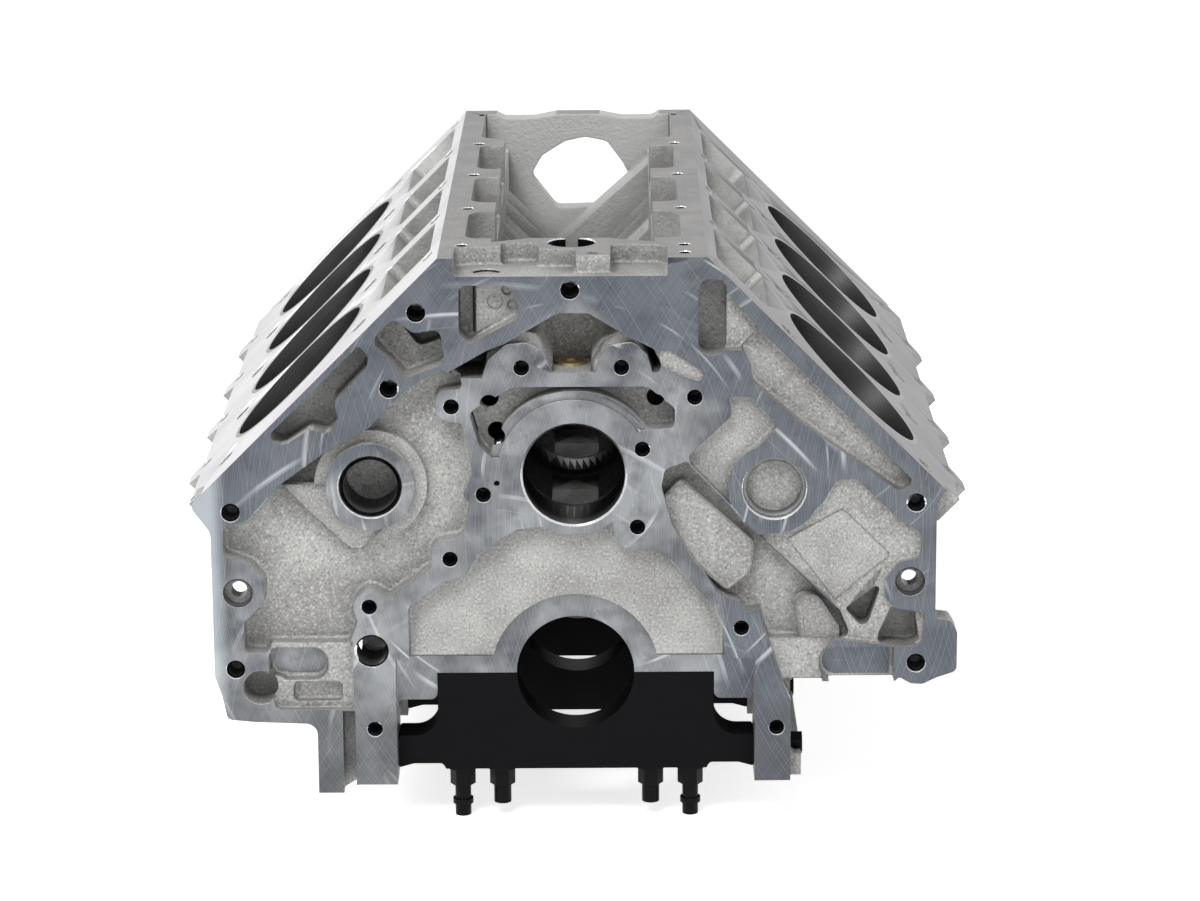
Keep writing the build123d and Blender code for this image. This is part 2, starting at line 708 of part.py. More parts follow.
def block_casting():
    """The whole block as one casting."""
    solid = slab(body_section(), PLATE / 2, LENGTH - REAR_WALL / 2)
    added = [front_plate(), rear_flange()]
    for side in SIDES.values():
        added += deck_lugs(side) + skirt_ribs(side) + mount_bosses(side)
    solid = solid.fuse(*added)
    tools = crankcase() + valley() + [rear_window()] + cam_tunnel()
    tools.append(rod(MAIN_RADIUS, -OVER, LENGTH + OVER))
    for side in SIDES.values():
        tools += cylinders(side) + lifter_pockets(side) + deck_holes(side)
        tools += side_holes(side)
    tools += rail_and_pan_holes() + face_holes() + top_band_pockets() + [left_field()]
    tools += right_fields() + timing_chest() + lower_left_details() + top_shelf()
    tools += stud_holes() + rear_holes()
    return solid.cut(*tools)


def liner(side, i):
    """Iron liner pressed in flush with the deck."""
    plane = on_bank(side, bore_y(side, i), DECK_HEIGHT, 0)
    return drill(plane, LINER_RADIUS, LINER_LENGTH, 0) - drill(plane, BORE_RADIUS, LINER_LENGTH + OVER)


def main_cap(i):
    """Billet main cap: narrow top in the register, wide wings between the skirts."""
    y = MAIN_YS[i]
    body_x = REGISTER_X - CAP_CLEARANCE
    wing_x = CAP_SEAT_X - CAP_CLEARANCE
    relief = CAP_BOTTOM + 3.5
    face = mirrored(
        (body_x, 0),
        (body_x, WING_TOP, WING_FILLET),
        (wing_x, WING_TOP, 1.5),
        (wing_x, CAP_BOTTOM + 1, 1),
        (wing_x - 9, relief, 8),
        (OUTER_STUD_X + WASHER_RADIUS + 2, relief, 3),
        (OUTER_STUD_X + WASHER_RADIUS, CAP_BOTTOM),
    )
    cap = slab(face, y - CAP_WIDTH / 2, y + CAP_WIDTH / 2)
    tools = [rod(MAIN_RADIUS, y - MAIN_WIDTH, y + MAIN_WIDTH)]
    for side in SIDES.values():
        for x, radius in ((INNER_STUD_X, INNER_STUD_RADIUS), (OUTER_STUD_X, OUTER_STUD_RADIUS)):
            plane = facing(side * x, y, OVER, (0, 0, 1))
            tools.append(drill(plane, radius + STUD_HOLE_CLEARANCE, OVER - CAP_BOTTOM + OVER))
        plane = facing(side * wing_x, y, CROSS_BOLT_Z, (side, 0, 0))
        tools.append(drill(plane, CROSS_BOLT_RADIUS, CROSS_BOLT_GRIP))
    return cap.cut(*tools)


def stud(x, y, radius, tip, collar):
    """One main stud, from its thread in the block to its tip."""
    shaft = drill(facing(x, y, STUD_DEPTH, (0, 0, 1)), radius, STUD_DEPTH - tip, 0)
    if collar:
        ring = facing(x, y, tip + 10.5, (0, 0, 1))
        shaft += drill(ring, COLLAR_RADIUS, COLLAR_HEIGHT, 0)
    return shaft


def at_studs(x, make):
    """The same piece at every stud that stands x from the middle."""
    return Compound(children=[make(side * x, y) for y in MAIN_YS for side in SIDES.values()])


def washer(x, y, radius):
    """Washer under a stud nut."""
    plane = facing(x, y, CAP_BOTTOM, (0, 0, 1))
    return drill(plane, WASHER_RADIUS, WASHER_HEIGHT, 0) - drill(plane, radius, WASHER_HEIGHT + OVER)


def nut(x, y, radius):
    """Six-sided stud nut."""
    plane = facing(x, y, CAP_BOTTOM - WASHER_HEIGHT, (0, 0, -1))
    body = extrude(plane * RegularPolygon(NUT_RADIUS, 6), amount=NUT_HEIGHT)
    return body - plane * Cylinder(radius, 3 * NUT_HEIGHT)


def cross_bolt(side, y):
    """Side bolt that pulls a cap wing against the skirt."""
    plane = facing(side * SKIRT_OUTER, y, CROSS_BOLT_Z, (side, 0, 0))
    length = SKIRT_OUTER - CAP_SEAT_X + CROSS_BOLT_GRIP - OVER
    head = extrude(plane * RegularPolygon(CROSS_HEAD_RADIUS, 6), amount=CROSS_HEAD_HEIGHT)
    return head + drill(plane, CROSS_BOLT_RADIUS, length, 0)


def core_plug(side, y):
    """Pressed cup plug in the side of a bank."""
    plane = core_plug_plane(side, y)
    cup = drill(plane, CORE_PLUG_RADIUS, CORE_PLUG_DEPTH, 0)
    return cup - drill(plane, CORE_PLUG_RADIUS - CORE_PLUG_WALL, CORE_PLUG_DEPTH - CORE_PLUG_WALL)


def rear_pin(side):
    """Bell housing dowel pin."""
    x, z = REAR_DOWEL
    half = PIN_LENGTH / 2
    return rod(PIN_RADIUS, LENGTH - half, LENGTH + half, side * x, z)


def pieces():
    """Every piece of the block by name."""
    found = {"block_casting": block_casting()}
    for name, side in SIDES.items():
        for i in range(BORES_PER_BANK):
            found[f"liner_{name}_{i + 1}"] = liner(side, i)
        found[f"core_plugs_{name}"] = Compound(
            children=[core_plug(side, y) for y in core_plug_ys(side)])
        found[f"cross_bolts_{name}"] = Compound(
            children=[cross_bolt(side, y) for y in MAIN_YS])
        found[f"bell_housing_dowel_{name}"] = rear_pin(side)
    for i in range(MAINS):
        found[f"main_cap_{i + 1}"] = main_cap(i)
    sets = {
        "inner": (INNER_STUD_X, INNER_STUD_RADIUS, INNER_STUD_TIP, False),
        "outer": (OUTER_STUD_X, OUTER_STUD_RADIUS, OUTER_STUD_TIP, True),
    }
    for name, (at, radius, tip, collar) in sets.items():
        found[f"main_studs_{name}"] = at_studs(
            at, lambda x, y: stud(x, y, radius, tip, collar))
        found[f"main_nuts_{name}"] = at_studs(at, lambda x, y: nut(x, y, radius))
        found[f"main_washers_{name}"] = at_studs(at, lambda x, y: washer(x, y, radius))
    return found


os.makedirs("parts", exist_ok=True)
for piece_name, piece in pieces().items():
    export_step(Pos(0, -MAIN_1_Y, 0) * piece, f"parts/{piece_name}.step")
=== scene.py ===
"""Looks of a bare aluminium engine block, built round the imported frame. Metres, +Z up."""

import math

import bmesh
import bpy
import numpy as np
from mathutils import Matrix, Vector

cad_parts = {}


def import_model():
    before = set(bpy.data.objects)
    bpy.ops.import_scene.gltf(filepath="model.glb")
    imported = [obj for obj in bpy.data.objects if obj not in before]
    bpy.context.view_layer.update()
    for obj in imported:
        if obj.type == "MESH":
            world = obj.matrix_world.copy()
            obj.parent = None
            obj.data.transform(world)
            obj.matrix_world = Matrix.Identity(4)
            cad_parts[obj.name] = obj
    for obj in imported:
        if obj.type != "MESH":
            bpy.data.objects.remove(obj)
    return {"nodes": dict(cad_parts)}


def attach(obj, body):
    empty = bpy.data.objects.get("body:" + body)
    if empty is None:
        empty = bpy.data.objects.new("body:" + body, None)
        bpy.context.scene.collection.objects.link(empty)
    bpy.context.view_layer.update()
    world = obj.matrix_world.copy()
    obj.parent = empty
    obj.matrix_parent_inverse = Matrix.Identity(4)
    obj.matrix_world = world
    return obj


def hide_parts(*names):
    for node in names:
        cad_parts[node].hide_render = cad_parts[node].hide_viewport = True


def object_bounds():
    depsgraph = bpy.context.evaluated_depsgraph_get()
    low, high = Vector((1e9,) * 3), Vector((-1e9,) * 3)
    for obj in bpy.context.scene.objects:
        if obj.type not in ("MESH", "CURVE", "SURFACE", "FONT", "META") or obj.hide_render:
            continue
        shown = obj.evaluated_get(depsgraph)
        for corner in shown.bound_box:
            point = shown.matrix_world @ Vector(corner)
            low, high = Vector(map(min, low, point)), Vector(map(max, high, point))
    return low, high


MM = 0.001
ROOT2 = math.sqrt(2)
ARC_STEP = math.radians(12)
SHARP_ANGLE = math.radians(32)

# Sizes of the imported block, in millimetres from its machined front face
FRONT_Y = -27.0
LENGTH = 504.04
DECK_HEIGHT = 234.7
DECK_EDGE = 85.0
DECK_EDGE_FRONT = 72.9
DECK_THICKNESS = 18.0
BORE_SPACING = 111.76
BANK_OFFSET = 24.0
BORES_PER_BANK = 4
RAIL_HALF_WIDTH = 77.9
TOP_Z = DECK_HEIGHT * ROOT2 - RAIL_HALF_WIDTH
PAN_Z = -63.5
PAN_RAIL_X = 134.0
SKIRT_OUTER = 127.3
MAIN_1_Y = 27.0
MAIN_RADIUS = 34.93
FACE_STEP_RADIUS = 50.0
REGISTER_X = 82.3
CAP_SEAT_X = 106.0
SEAT_FOOT = -73.5
CAM_HEIGHT = 124.8
CAM_RADIUS = 30.0
BEARING_DEPTH = 41.0
TUNNEL_RADIUS = 38.0
LIFTER_RADIUS = 10.7
LIFTER_STEP = 19.0
LIFTER_TOP = 186.0
BOSS_RADIUS = 25.0
VALLEY_HALF_WIDTH = 48.0
REAR_WALL = 16.0
CROSSBAR_BORE = (-0.7, 45)
CROSSBAR_BORE_RADIUS = 13.5
SHELF_DEPTH = 11.0
SHELF_PAD = (-50, 17)
SHELF_PAD_RADIUS = 8.0
PLUG_AT = (-1.5, 27)
PLUG_TOP = 187.5

# Ways along the block and up
FORWARD = (0, -1, 0)
BACKWARD = (0, 1, 0)
UP = (0, 0, 1)

# Depths of the levels on the front face
PLATE = 20.0
FIELD_DEPTH = 14.0
PAST_FIELD = FIELD_DEPTH + 1
APRON_DEPTH = 9.0
RING_DEPTH = 2.0
RING_RADIUS = 50.0
RING_INNER_RADIUS = 45.0
ARCH_DEPTH = 40.0
CHEST_DEPTH = 16.0
LEFT_SLOT_DEPTH = 13.0
RIGHT_SLOT_DEPTH = 12.0

# Holes in the front face by x and z, with their radii
FACE_HOLES = [
    (-1.5, 235), (-90.5, 222), (-107, 177), (-201, 103), (-200.5, 7), (200, 107), (201, 9),
]
COVER_HOLES = [
    (-30, 189), (28, 189), (70.5, 171), (-71, 166), (40, 140), (-53, 113), (37, 93),
    (-73, 74), (98, 31), (-121, 45), (119, -30.5), (-119, -30.5),
]
EAR_HOLES = [(-198, 54), (197, 59)]
PORTS = [(-119, 118), (117, 116)]
GALLERIES = [(-49, 168), (-45, 148), (48, 168)]
SMALL_HOLES = [(-54, 154), (-45, 120)]
BRACKET_HOLES = [(-120, 18)]
CORNER_HOLES = [(-186, -4)]
FACE_HOLE_RADIUS = 4.4
COVER_HOLE_RADIUS = 3.6
EAR_MOUTH_RADIUS = 8.3
EAR_HOLE_RADIUS = 4.8
PORT_RADIUS = 16.0
GALLERY_RADIUS = 5.3
BRACKET_HOLE_RADIUS = 9.0

# Holes in the decks by t, radius and depth, and in the rails by x and y
DECK_HOLES = ((-57, 5.5, 60), (57, 5.5, 60), (114.5, 4.0, 20))
OUTER_DECK_HOLE_T = -81
OUTER_DECK_HOLE_RADIUS = 4.0
RAIL_HOLE_X = 65
RAIL_HOLE_Y = 38
FRONT_HOLE_Y = 15
RAIL_HOLE_RADIUS = 3.4

# How closely a triangle has to face a way, and lie on a level, to get a machined finish
FLAT = 0.99
ON_LEVEL = 0.1
WALL_DEPTH = 150

# Finishes of the casting, by slot
CAST, FRONT, DECK, RAIL, BORED, CHAMFER = range(6)

# Lamps, each with its place, size and power
LAMPS_AIM = (0, 0.2, 0.1)
LAMPS = [
    ("key", (-0.55, -1.25, 1.9), 0.9, 35),
    ("fill", (1.6, -1.8, 0.7), 1.2, 7),
    ("left_card", (-2.0, 0.6, 1.4), 1.2, 14),
]
WORLD_LIGHT = 0.26
FLOOR_GLOW = 0.74
FLOOR_HALF_SIZE = 6.0

# Camera, from the photograph's perspective
PHOTO_SIZE = (1200, 901)
FOCAL_PX = 3985.8
CAMERA_AT = (21.46, -2244.99, 722.36)
CAMERA_TILT = 0.25398
CAMERA_YAW = -0.00273
CAMERA_ROLL = -0.00608
SENSOR_MM = 36.0


class Graph:
    """One material's node tree, with short names for the nodes that it uses.

    Sizes of features are in millimetres, and the places that split gives are in metres.
    """

    def __init__(self, name, colour, metallic, roughness):
        self.material = bpy.data.materials.new(name)
        self.material.use_nodes = True
        self.tree = self.material.node_tree
        self.shader = self.tree.nodes["Principled BSDF"]
        self.shader.inputs["Base Color"].default_value = (*colour, 1)
        self.shader.inputs["Metallic"].default_value = metallic
        self.shader.inputs["Roughness"].default_value = roughness
        self.place = self.add("ShaderNodeTexCoord").outputs["Object"]

    def add(self, kind, **inputs):
        """A node, with its inputs set or linked. Names of inputs use _ for a space."""
        node = self.tree.nodes.new(kind)
        for key, value in inputs.items():
            self.put(node, key.replace("_", " "), value)
        return node

    def put(self, node, key, value):
        """Sets or links one input, given by its name or number."""
        socket = node.inputs[int(key) if key.isdigit() else key]
        if isinstance(value, bpy.types.NodeSocket):
            self.tree.links.new(value, socket)
        else:
            socket.default_value = value

    def maths(self, operation, a, b=0.0):
        """A number from one or two others."""
        node = self.tree.nodes.new("ShaderNodeMath")
        node.operation = operation
        self.put(node, "0", a)
        self.put(node, "1", b)
        return node.outputs[0]

    def noise(self, size, detail=2.0, rough=0.5, stretch=None):
        """Cloudy noise with features of a given size in millimetres."""
        place = self.place
        if stretch:
            place = self.vector("MULTIPLY", place, stretch)
        node = self.add("ShaderNodeTexNoise", Vector=place, Scale=1 / (size * MM), Detail=detail,
                        Roughness=rough)
        return node.outputs["Fac"]

    def vector(self, operation, a, b):
        """A vector from two others."""
        node = self.tree.nodes.new("ShaderNodeVectorMath")
        node.operation = operation
        self.put(node, "0", a)
        self.put(node, "1", b)
        return node.outputs["Vector"]

    def lines(self, distance, pitch, seed):
        """Fine uneven lines across a distance in metres, one about every pitch millimetres."""
        node = self.tree.nodes.new("ShaderNodeTexNoise")
        node.noise_dimensions = "1D"
        self.put(node, "W", self.maths("ADD", distance, seed))
        node.inputs["Scale"].default_value = 1 / (pitch * MM)
        node.inputs["Detail"].default_value = 3.0
        return node.outputs["Fac"]

    def levels(self, value, low, high, bottom=0.0, top=1.0):
        """A value stretched from one range to another and clamped."""
        node = self.tree.nodes.new("ShaderNodeMapRange")
        for key, entry in zip("01234", (value, low, high, bottom, top)):
            self.put(node, key, entry)
        return node.outputs[0]

    def blend(self, share, a, b):
        """A colour between two others."""
        node = self.tree.nodes.new("ShaderNodeMix")
        node.data_type = "RGBA"
        self.put(node, "0", share)
        for key, entry in (("6", a), ("7", b)):
            self.put(node, key, (*entry, 1) if isinstance(entry, tuple) else entry)
        return node.outputs[2]

    def arcs(self, across, along, radius, pitch, seed, way=1):
        """Cutter marks: lines on arcs of one radius, whose centres move along the surface."""
        square = self.maths("MULTIPLY", across, across)
        rest = self.maths("MAXIMUM", self.maths("SUBTRACT", (radius * MM) ** 2, square), 0.0)
        bow = self.maths("MULTIPLY", self.maths("SQRT", rest), way)
        return self.lines(self.maths("ADD", along, bow), pitch, seed)

    def rings(self, x, z, pitch, seed):
        """Lines on circles round a point of the front face, in millimetres."""
        shifted = self.vector("SUBTRACT", self.place, (x * MM, 0, z * MM))
        flat = self.vector("MULTIPLY", shifted, (1, 0, 1))
        node = self.tree.nodes.new("ShaderNodeVectorMath")
        node.operation = "LENGTH"
        self.put(node, "0", flat)
        return self.lines(node.outputs["Value"], pitch, seed)

    def split(self):
        """X, Y and Z of the place on the object."""
        return self.add("ShaderNodeSeparateXYZ", Vector=self.place).outputs

    def bump(self, height, depth, strength=1.0, normal=None):
        """A normal from a height between 0 and 1, whose full depth is in millimetres."""
        node = self.add("ShaderNodeBump", Height=height, Distance=depth * MM, Strength=strength)
        if normal is not None:
            self.put(node, "Normal", normal)
        return node.outputs["Normal"]

    def painted_hollow_shade(self, colour, reach, least, power=1.0):
        """A colour with painted shade: made darker in recesses and holes."""
        node = self.add("ShaderNodeAmbientOcclusion", Distance=reach * MM)
        node.samples = 6
        share = self.maths("POWER", self.levels(node.outputs["AO"], 0.1, 0.95), power)
        return self.blend(self.levels(share, 0, 1, least, 1), (0.012, 0.012, 0.014), colour)

    def soft_edges(self, radius):
        """A normal that rolls over edges, for a radius in millimetres."""
        node = self.add("ShaderNodeBevel", Radius=radius * MM)
        node.samples = 6
        return node.outputs["Normal"]

    def finish(self, **inputs):
        """Links the shader's own inputs and gives back the material."""
        for key, value in inputs.items():
            self.put(self.shader, key.replace("_", " "), value)
        return self.material


def cast_skin():
    """Sand-cast aluminium: pale, matt and grainy, with soft edges and painted shade in deep
    fields.
    """
    g = Graph("cast_skin", (0.45, 0.45, 0.44), 0.25, 0.55)
    grain = g.noise(1.5, 3.0, 0.65)
    coarse = g.noise(3.6, 2.0, 0.5)
    patches = g.noise(38, 3.0, 0.55)
    speck = g.levels(grain, 0.54, 0.70)
    pit = g.levels(grain, 0.46, 0.30)
    x, y, z = g.split()
    behind = g.levels(y, 0.02, 0.10, 1.0, 0.3)
    tone = g.blend(g.levels(patches, 0.38, 0.62), (0.34, 0.335, 0.325), (0.48, 0.48, 0.465))
    tone = g.blend(g.maths("MULTIPLY", speck, g.maths("MULTIPLY", behind, 0.6)), tone,
                   (0.88, 0.88, 0.86))
    tone = g.blend(g.maths("MULTIPLY", pit, g.maths("MULTIPLY", behind, 0.7)), tone,
                   (0.12, 0.12, 0.12))
    # Painted light: the cast skin is made paler towards the rear, on the valley's rear wall.
    tone = g.blend(g.levels(y, 0.40, 0.45), tone, (0.60, 0.60, 0.59))
    # Painted shade: the cam tunnel inside the block is painted near black.
    up = g.maths("SUBTRACT", z, CAM_HEIGHT * MM)
    square = g.maths("ADD", g.maths("MULTIPLY", x, x), g.maths("MULTIPLY", up, up))
    painted_tunnel_shade = g.maths("MULTIPLY", g.levels(square, 0.0017, 0.0012), g.levels(y, 0.012, 0.03))
    tone = g.blend(painted_tunnel_shade, tone, (0.02, 0.02, 0.022))
    # Painted shade in recesses and holes.
    tone = g.painted_hollow_shade(tone, 20, 0.42, 0.9)
    height = g.maths("ADD", g.maths("MULTIPLY", grain, 0.6), g.maths("MULTIPLY", coarse, 0.6))
    normal = g.bump(height, 0.8, 0.9, g.soft_edges(1.6))
    return g.finish(Base_Color=tone, Normal=normal,
                    Roughness=g.levels(coarse, 0.3, 0.7, 0.42, 0.62))


def front_metal():
    """Fly-cut front face: blue-grey, with faint arcs of cutter marks, painted sweeps of sheen and
    painted shade.
    """
    g = Graph("front_metal", (0.3, 0.32, 0.34), 0.85, 0.34)
    x, _, z = g.split()
    fine = g.arcs(g.maths("SUBTRACT", z, 0.09), x, 260, 0.7, 3.1)
    back = g.arcs(g.maths("SUBTRACT", z, 0.09), x, 260, 1.1, 9.4, -1)
    # Painted highlight: bright sweeps of sheen on rings round a few points, mottled by noise.
    sheen_sweeps = [
        g.maths("MULTIPLY", g.levels(g.rings(cx, cz, pitch, seed), 0.62, 0.78),
                g.levels(g.noise(size, 1.0, 0.5, stretch=(1, 0.1, 1)), 0.54, 0.68))
        for cx, cz, pitch, seed, size in (
            (0, 125, 5.0, 1.3, 36), (-60, -40, 6.0, 2.1, 52), (150, 150, 5.0, 5.7, 44),
        )
    ]
    painted_sheen = sheen_sweeps[0]
    for sweep in sheen_sweeps[1:]:
        painted_sheen = g.maths("MAXIMUM", painted_sheen, sweep)
    clouds = g.noise(46, 3.0, 0.6, stretch=(1, 0.1, 1))
    smears = g.noise(14, 3.0, 0.65, stretch=(1, 0.1, 1))
    # Painted shade: the top band and the right of the face are darkened to a bluish grey.
    reach = g.maths("ADD", z, g.maths("MULTIPLY", g.maths("ABSOLUTE", x), 0.75))
    band = g.maths("MAXIMUM", g.levels(reach, 0.224, 0.234), g.levels(x, 0.083, 0.089))
    tone = g.blend(g.levels(clouds, 0.38, 0.62), (0.10, 0.105, 0.115), (0.27, 0.28, 0.29))
    tone = g.blend(g.maths("MULTIPLY", band, 0.75), tone, (0.078, 0.088, 0.11))
    smeared = g.maths("MULTIPLY", g.levels(smears, 0.52, 0.70), 0.4)
    tone = g.blend(smeared, tone, (0.045, 0.05, 0.06))
    # Painted highlight: the face's far left is made paler.
    tone = g.blend(g.levels(x, -0.204, -0.213, 0.0, 0.45), tone, (0.62, 0.68, 0.72))
    # Painted shade: the face is made darker below the crank axis.
    tone = g.blend(g.levels(z, 0.0, -0.03, 0.0, 0.6), tone, (0.07, 0.073, 0.078))
    # Painted shade in recesses and holes.
    tone = g.painted_hollow_shade(tone, 10, 0.35)
    marks = g.maths("MULTIPLY", g.levels(fine, 0.5, 0.75), 0.14)
    tone = g.blend(marks, tone, (0.62, 0.64, 0.66))
    tone = g.blend(g.maths("MULTIPLY", g.levels(back, 0.58, 0.78), 0.10), tone, (0.7, 0.72, 0.74))
    # Painted highlight from the sweeps of sheen.
    tone = g.blend(g.maths("MULTIPLY", painted_sheen, 0.42), tone, (0.80, 0.83, 0.86))
    height = g.maths("ADD", fine, g.maths("MULTIPLY", back, 0.6))
    normal = g.bump(height, 0.02, 0.45, g.soft_edges(0.35))
    return g.finish(Base_Color=tone, Normal=normal,
                    Roughness=g.levels(clouds, 0.3, 0.7, 0.28, 0.44))


def deck_metal():
    """Milled deck faces, with wide cutter arcs along the bank, the left one painted pale as lit
    and the right one dark as shaded.
    """
    g = Graph("deck_metal", (0.6, 0.6, 0.61), 0.9, 0.42)
    x, y, z = g.split()
    t = g.maths("DIVIDE", g.maths("SUBTRACT", z, g.maths("ABSOLUTE", x)), ROOT2)
    fine = g.arcs(t, y, 190, 0.6, 4.4)
    back = g.arcs(t, y, 190, 1.1, 7.7, -1)
    clouds = g.noise(60, 3.0, 0.5)
    # Painted light and shade: the left deck is painted pale as lit, the right deck dark as shaded.
    left = g.levels(x, 0.0, -0.001)
    dark = g.blend(g.levels(clouds, 0.35, 0.65), (0.19, 0.185, 0.195), (0.26, 0.255, 0.265))
    pale = g.blend(g.levels(clouds, 0.35, 0.65), (0.60, 0.60, 0.61), (0.72, 0.72, 0.73))
    tone = g.blend(left, dark, pale)
    tone = g.blend(g.maths("MULTIPLY", g.levels(fine, 0.45, 0.7), 0.16), tone, (0.6, 0.6, 0.61))
    height = g.maths("ADD", fine, g.maths("MULTIPLY", back, 0.5))
    return g.finish(Base_Color=tone, Normal=g.bump(height, 0.015, 0.4, g.soft_edges(0.35)))


def rail_metal():
    """Evenly milled rails, rear face and pan rail: fine straight marks and a warm grey."""
    g = Graph("rail_metal", (0.4, 0.395, 0.4), 0.9, 0.42)
    x, _, z = g.split()
    fine = g.lines(g.maths("ADD", x, g.maths("MULTIPLY", z, 0.7)), 0.6, 2.2)
    stain = g.noise(28, 3.0, 0.6)
    tone = g.blend(g.levels(stain, 0.4, 0.7), (0.20, 0.197, 0.205), (0.28, 0.27, 0.25))
    tone = g.blend(g.maths("MULTIPLY", g.levels(fine, 0.4, 0.75), 0.2), tone, (0.52, 0.52, 0.52))
    return g.finish(Base_Color=tone, Normal=g.bump(fine, 0.012, 0.35, g.soft_edges(0.4)))


def bored_metal():
    """Bored and drilled walls: fine feed lines round each hole, with painted shade deep inside."""
    g = Graph("bored_metal", (0.62, 0.62, 0.63), 0.9, 0.3)
    _, y, z = g.split()
    feed = g.lines(g.maths("ADD", y, g.maths("MULTIPLY", z, 0.05)), 0.7, 6.1)
    tone = g.blend(g.levels(feed, 0.35, 0.7), (0.30, 0.30, 0.31), (0.52, 0.52, 0.53))
    # Painted shade: near black from 5 to 15 mm behind the front face, and darker in recesses and
    # holes.
    tone = g.blend(g.levels(y, -0.022, -0.012), tone, (0.02, 0.02, 0.022))
    tone = g.painted_hollow_shade(tone, 14, 0.15)
    return g.finish(Base_Color=tone, Normal=g.bump(feed, 0.03, 0.6))


def bright_chamfer():
    """Freshly turned chamfers at the mouths of holes, and thin turned rings."""
    g = Graph("bright_chamfer", (0.75, 0.75, 0.76), 1.0, 0.18)
    turned = g.noise(0.8, 2.0, 0.5)
    tone = g.blend(g.levels(turned, 0.35, 0.7), (0.55, 0.56, 0.58), (0.88, 0.89, 0.9))
    return g.finish(Base_Color=tone, Normal=g.bump(turned, 0.02, 0.4))


def honed_iron():
    """Honed liner bore with crosshatch, darker than the block."""
    g = Graph("honed_iron", (0.30, 0.30, 0.31), 1.0, 0.3)
    x, y, z = g.split()
    s = g.maths("ADD", z, g.maths("ABSOLUTE", x))
    rise = g.lines(g.maths("ADD", s, g.maths("MULTIPLY", y, 0.9)), 0.7, 1.1)
    fall = g.lines(g.maths("SUBTRACT", s, g.maths("MULTIPLY", y, 0.9)), 0.7, 5.2)
    hatch = g.maths("ADD", rise, fall)
    tone = g.blend(g.levels(hatch, 0.8, 1.2), (0.13, 0.125, 0.125), (0.24, 0.235, 0.235))
    return g.finish(Base_Color=tone, Normal=g.bump(hatch, 0.012, 0.5))


def black_oxide(name, tone, roughness):
    """Blackened steel: near black satin, with faint wear."""
    g = Graph(name, tone, 0.0, roughness)
    grain = g.noise(0.8, 2.0)
    wear = g.noise(20, 3.0, 0.6)
    worn = tuple(2.1 * c for c in tone)
    colour = g.blend(g.maths("MULTIPLY", g.levels(wear, 0.5, 0.75), 0.6), tone, worn)
    g.shader.inputs["Specular IOR Level"].default_value = 0.09
    return g.finish(Base_Color=colour, Normal=g.bump(grain, 0.03, 0.3, g.soft_edges(0.5)),
                    Roughness=g.levels(wear, 0.3, 0.7, roughness - 0.06, roughness + 0.1))


def plated_steel():
    """Core plugs, dowels and pins: pale plated steel with a faint spin."""
    g = Graph("plated_steel", (0.5, 0.48, 0.44), 1.0, 0.3)
    grain = g.noise(1.5, 2.0)
    stain = g.noise(9, 3.0, 0.6)
    tone = g.blend(g.levels(stain, 0.35, 0.7), (0.36, 0.35, 0.32), (0.54, 0.52, 0.47))
    return g.finish(Base_Color=tone, Normal=g.bump(grain, 0.02, 0.3, g.soft_edges(0.5)))


def brass():
    """Brass plug: warm yellow, dulled in patches."""
    g = Graph("plug_brass", (0.62, 0.45, 0.2), 1.0, 0.3)
    stain = g.noise(5, 3.0, 0.6)
    tone = g.blend(g.levels(stain, 0.35, 0.7), (0.5, 0.34, 0.14), (0.78, 0.6, 0.3))
    return g.finish(Base_Color=tone, Normal=g.bump(g.noise(1.0, 2.0), 0.02, 0.3))


def bore_y(side, i):
    """Distance of a cylinder's axis from the front face."""
    return MAIN_1_Y + (i + 0.5) * BORE_SPACING - side * BANK_OFFSET / 2


def at_bank(side, y, s, t):
    """A point s up along the cylinder axes and t across them, towards the valley."""
    return (side * (s - t) / ROOT2, y, (s + t) / ROOT2)


def rounded(*points):
    """Closed outline of (a, b) points, with an arc where a point has a radius."""
    found = []
    for i, point in enumerate(points):
        corner = Vector(point[:2])
        if len(point) < 3:
            found.append(corner)
            continue
        before = Vector(points[i - 1][:2]) - corner
        after = Vector(points[(i + 1) % len(points)][:2]) - corner
        half = before.angle(after) / 2
        room = min(before.length, after.length) / 2 * math.tan(half)
        radius = min(point[2], 0.98 * room)
        start = corner + before.normalized() * radius / math.tan(half)
        middle = (before.normalized() + after.normalized()).normalized() * radius / math.sin(half)
        turn = math.copysign(math.pi - 2 * half, before.x * after.y - before.y * after.x)
        steps = max(2, math.ceil(abs(turn) / ARC_STEP))
        arm = start - corner - middle
        for k in range(steps + 1):
            found.append(corner + middle + Matrix.Rotation(-turn * k / steps, 2) @ arm)
    return [p for i, p in enumerate(found) if (p - found[i - 1]).length > 0.02]


def inset(points, amount):
    """The same outline moved inwards by an amount, or outwards by a negative one."""
    area = sum(a.x * b.y - b.x * a.y for a, b in zip(points, points[1:] + points[:1]))
    way = math.copysign(1, area)
    moved = []
    for i, point in enumerate(points):
        before = (point - points[i - 1]).normalized()
        after = (points[(i + 1) % len(points)] - point).normalized()
        first = Vector((-before.y, before.x)) * way
        second = Vector((-after.y, after.x)) * way
        moved.append(point + (first + second) / max(0.4, 1 + first.dot(second)) * amount)
    return moved


def skin(rings):
    """A closed solid through rings of equally many points, in millimetres, as an object."""
    shape = bmesh.new()
    rows = [[shape.verts.new(Vector(p) * MM) for p in ring] for ring in rings]
    count = len(rows[0])
    for low, high in zip(rows, rows[1:]):
        for i in range(count):
            j = (i + 1) % count
            shape.faces.new((low[i], low[j], high[j], high[i]))
    shape.faces.new(reversed(rows[0]))
    shape.faces.new(rows[-1])
    if shape.calc_volume(signed=True) < 0:
        bmesh.ops.reverse_faces(shape, faces=shape.faces)
    return as_object(shape)


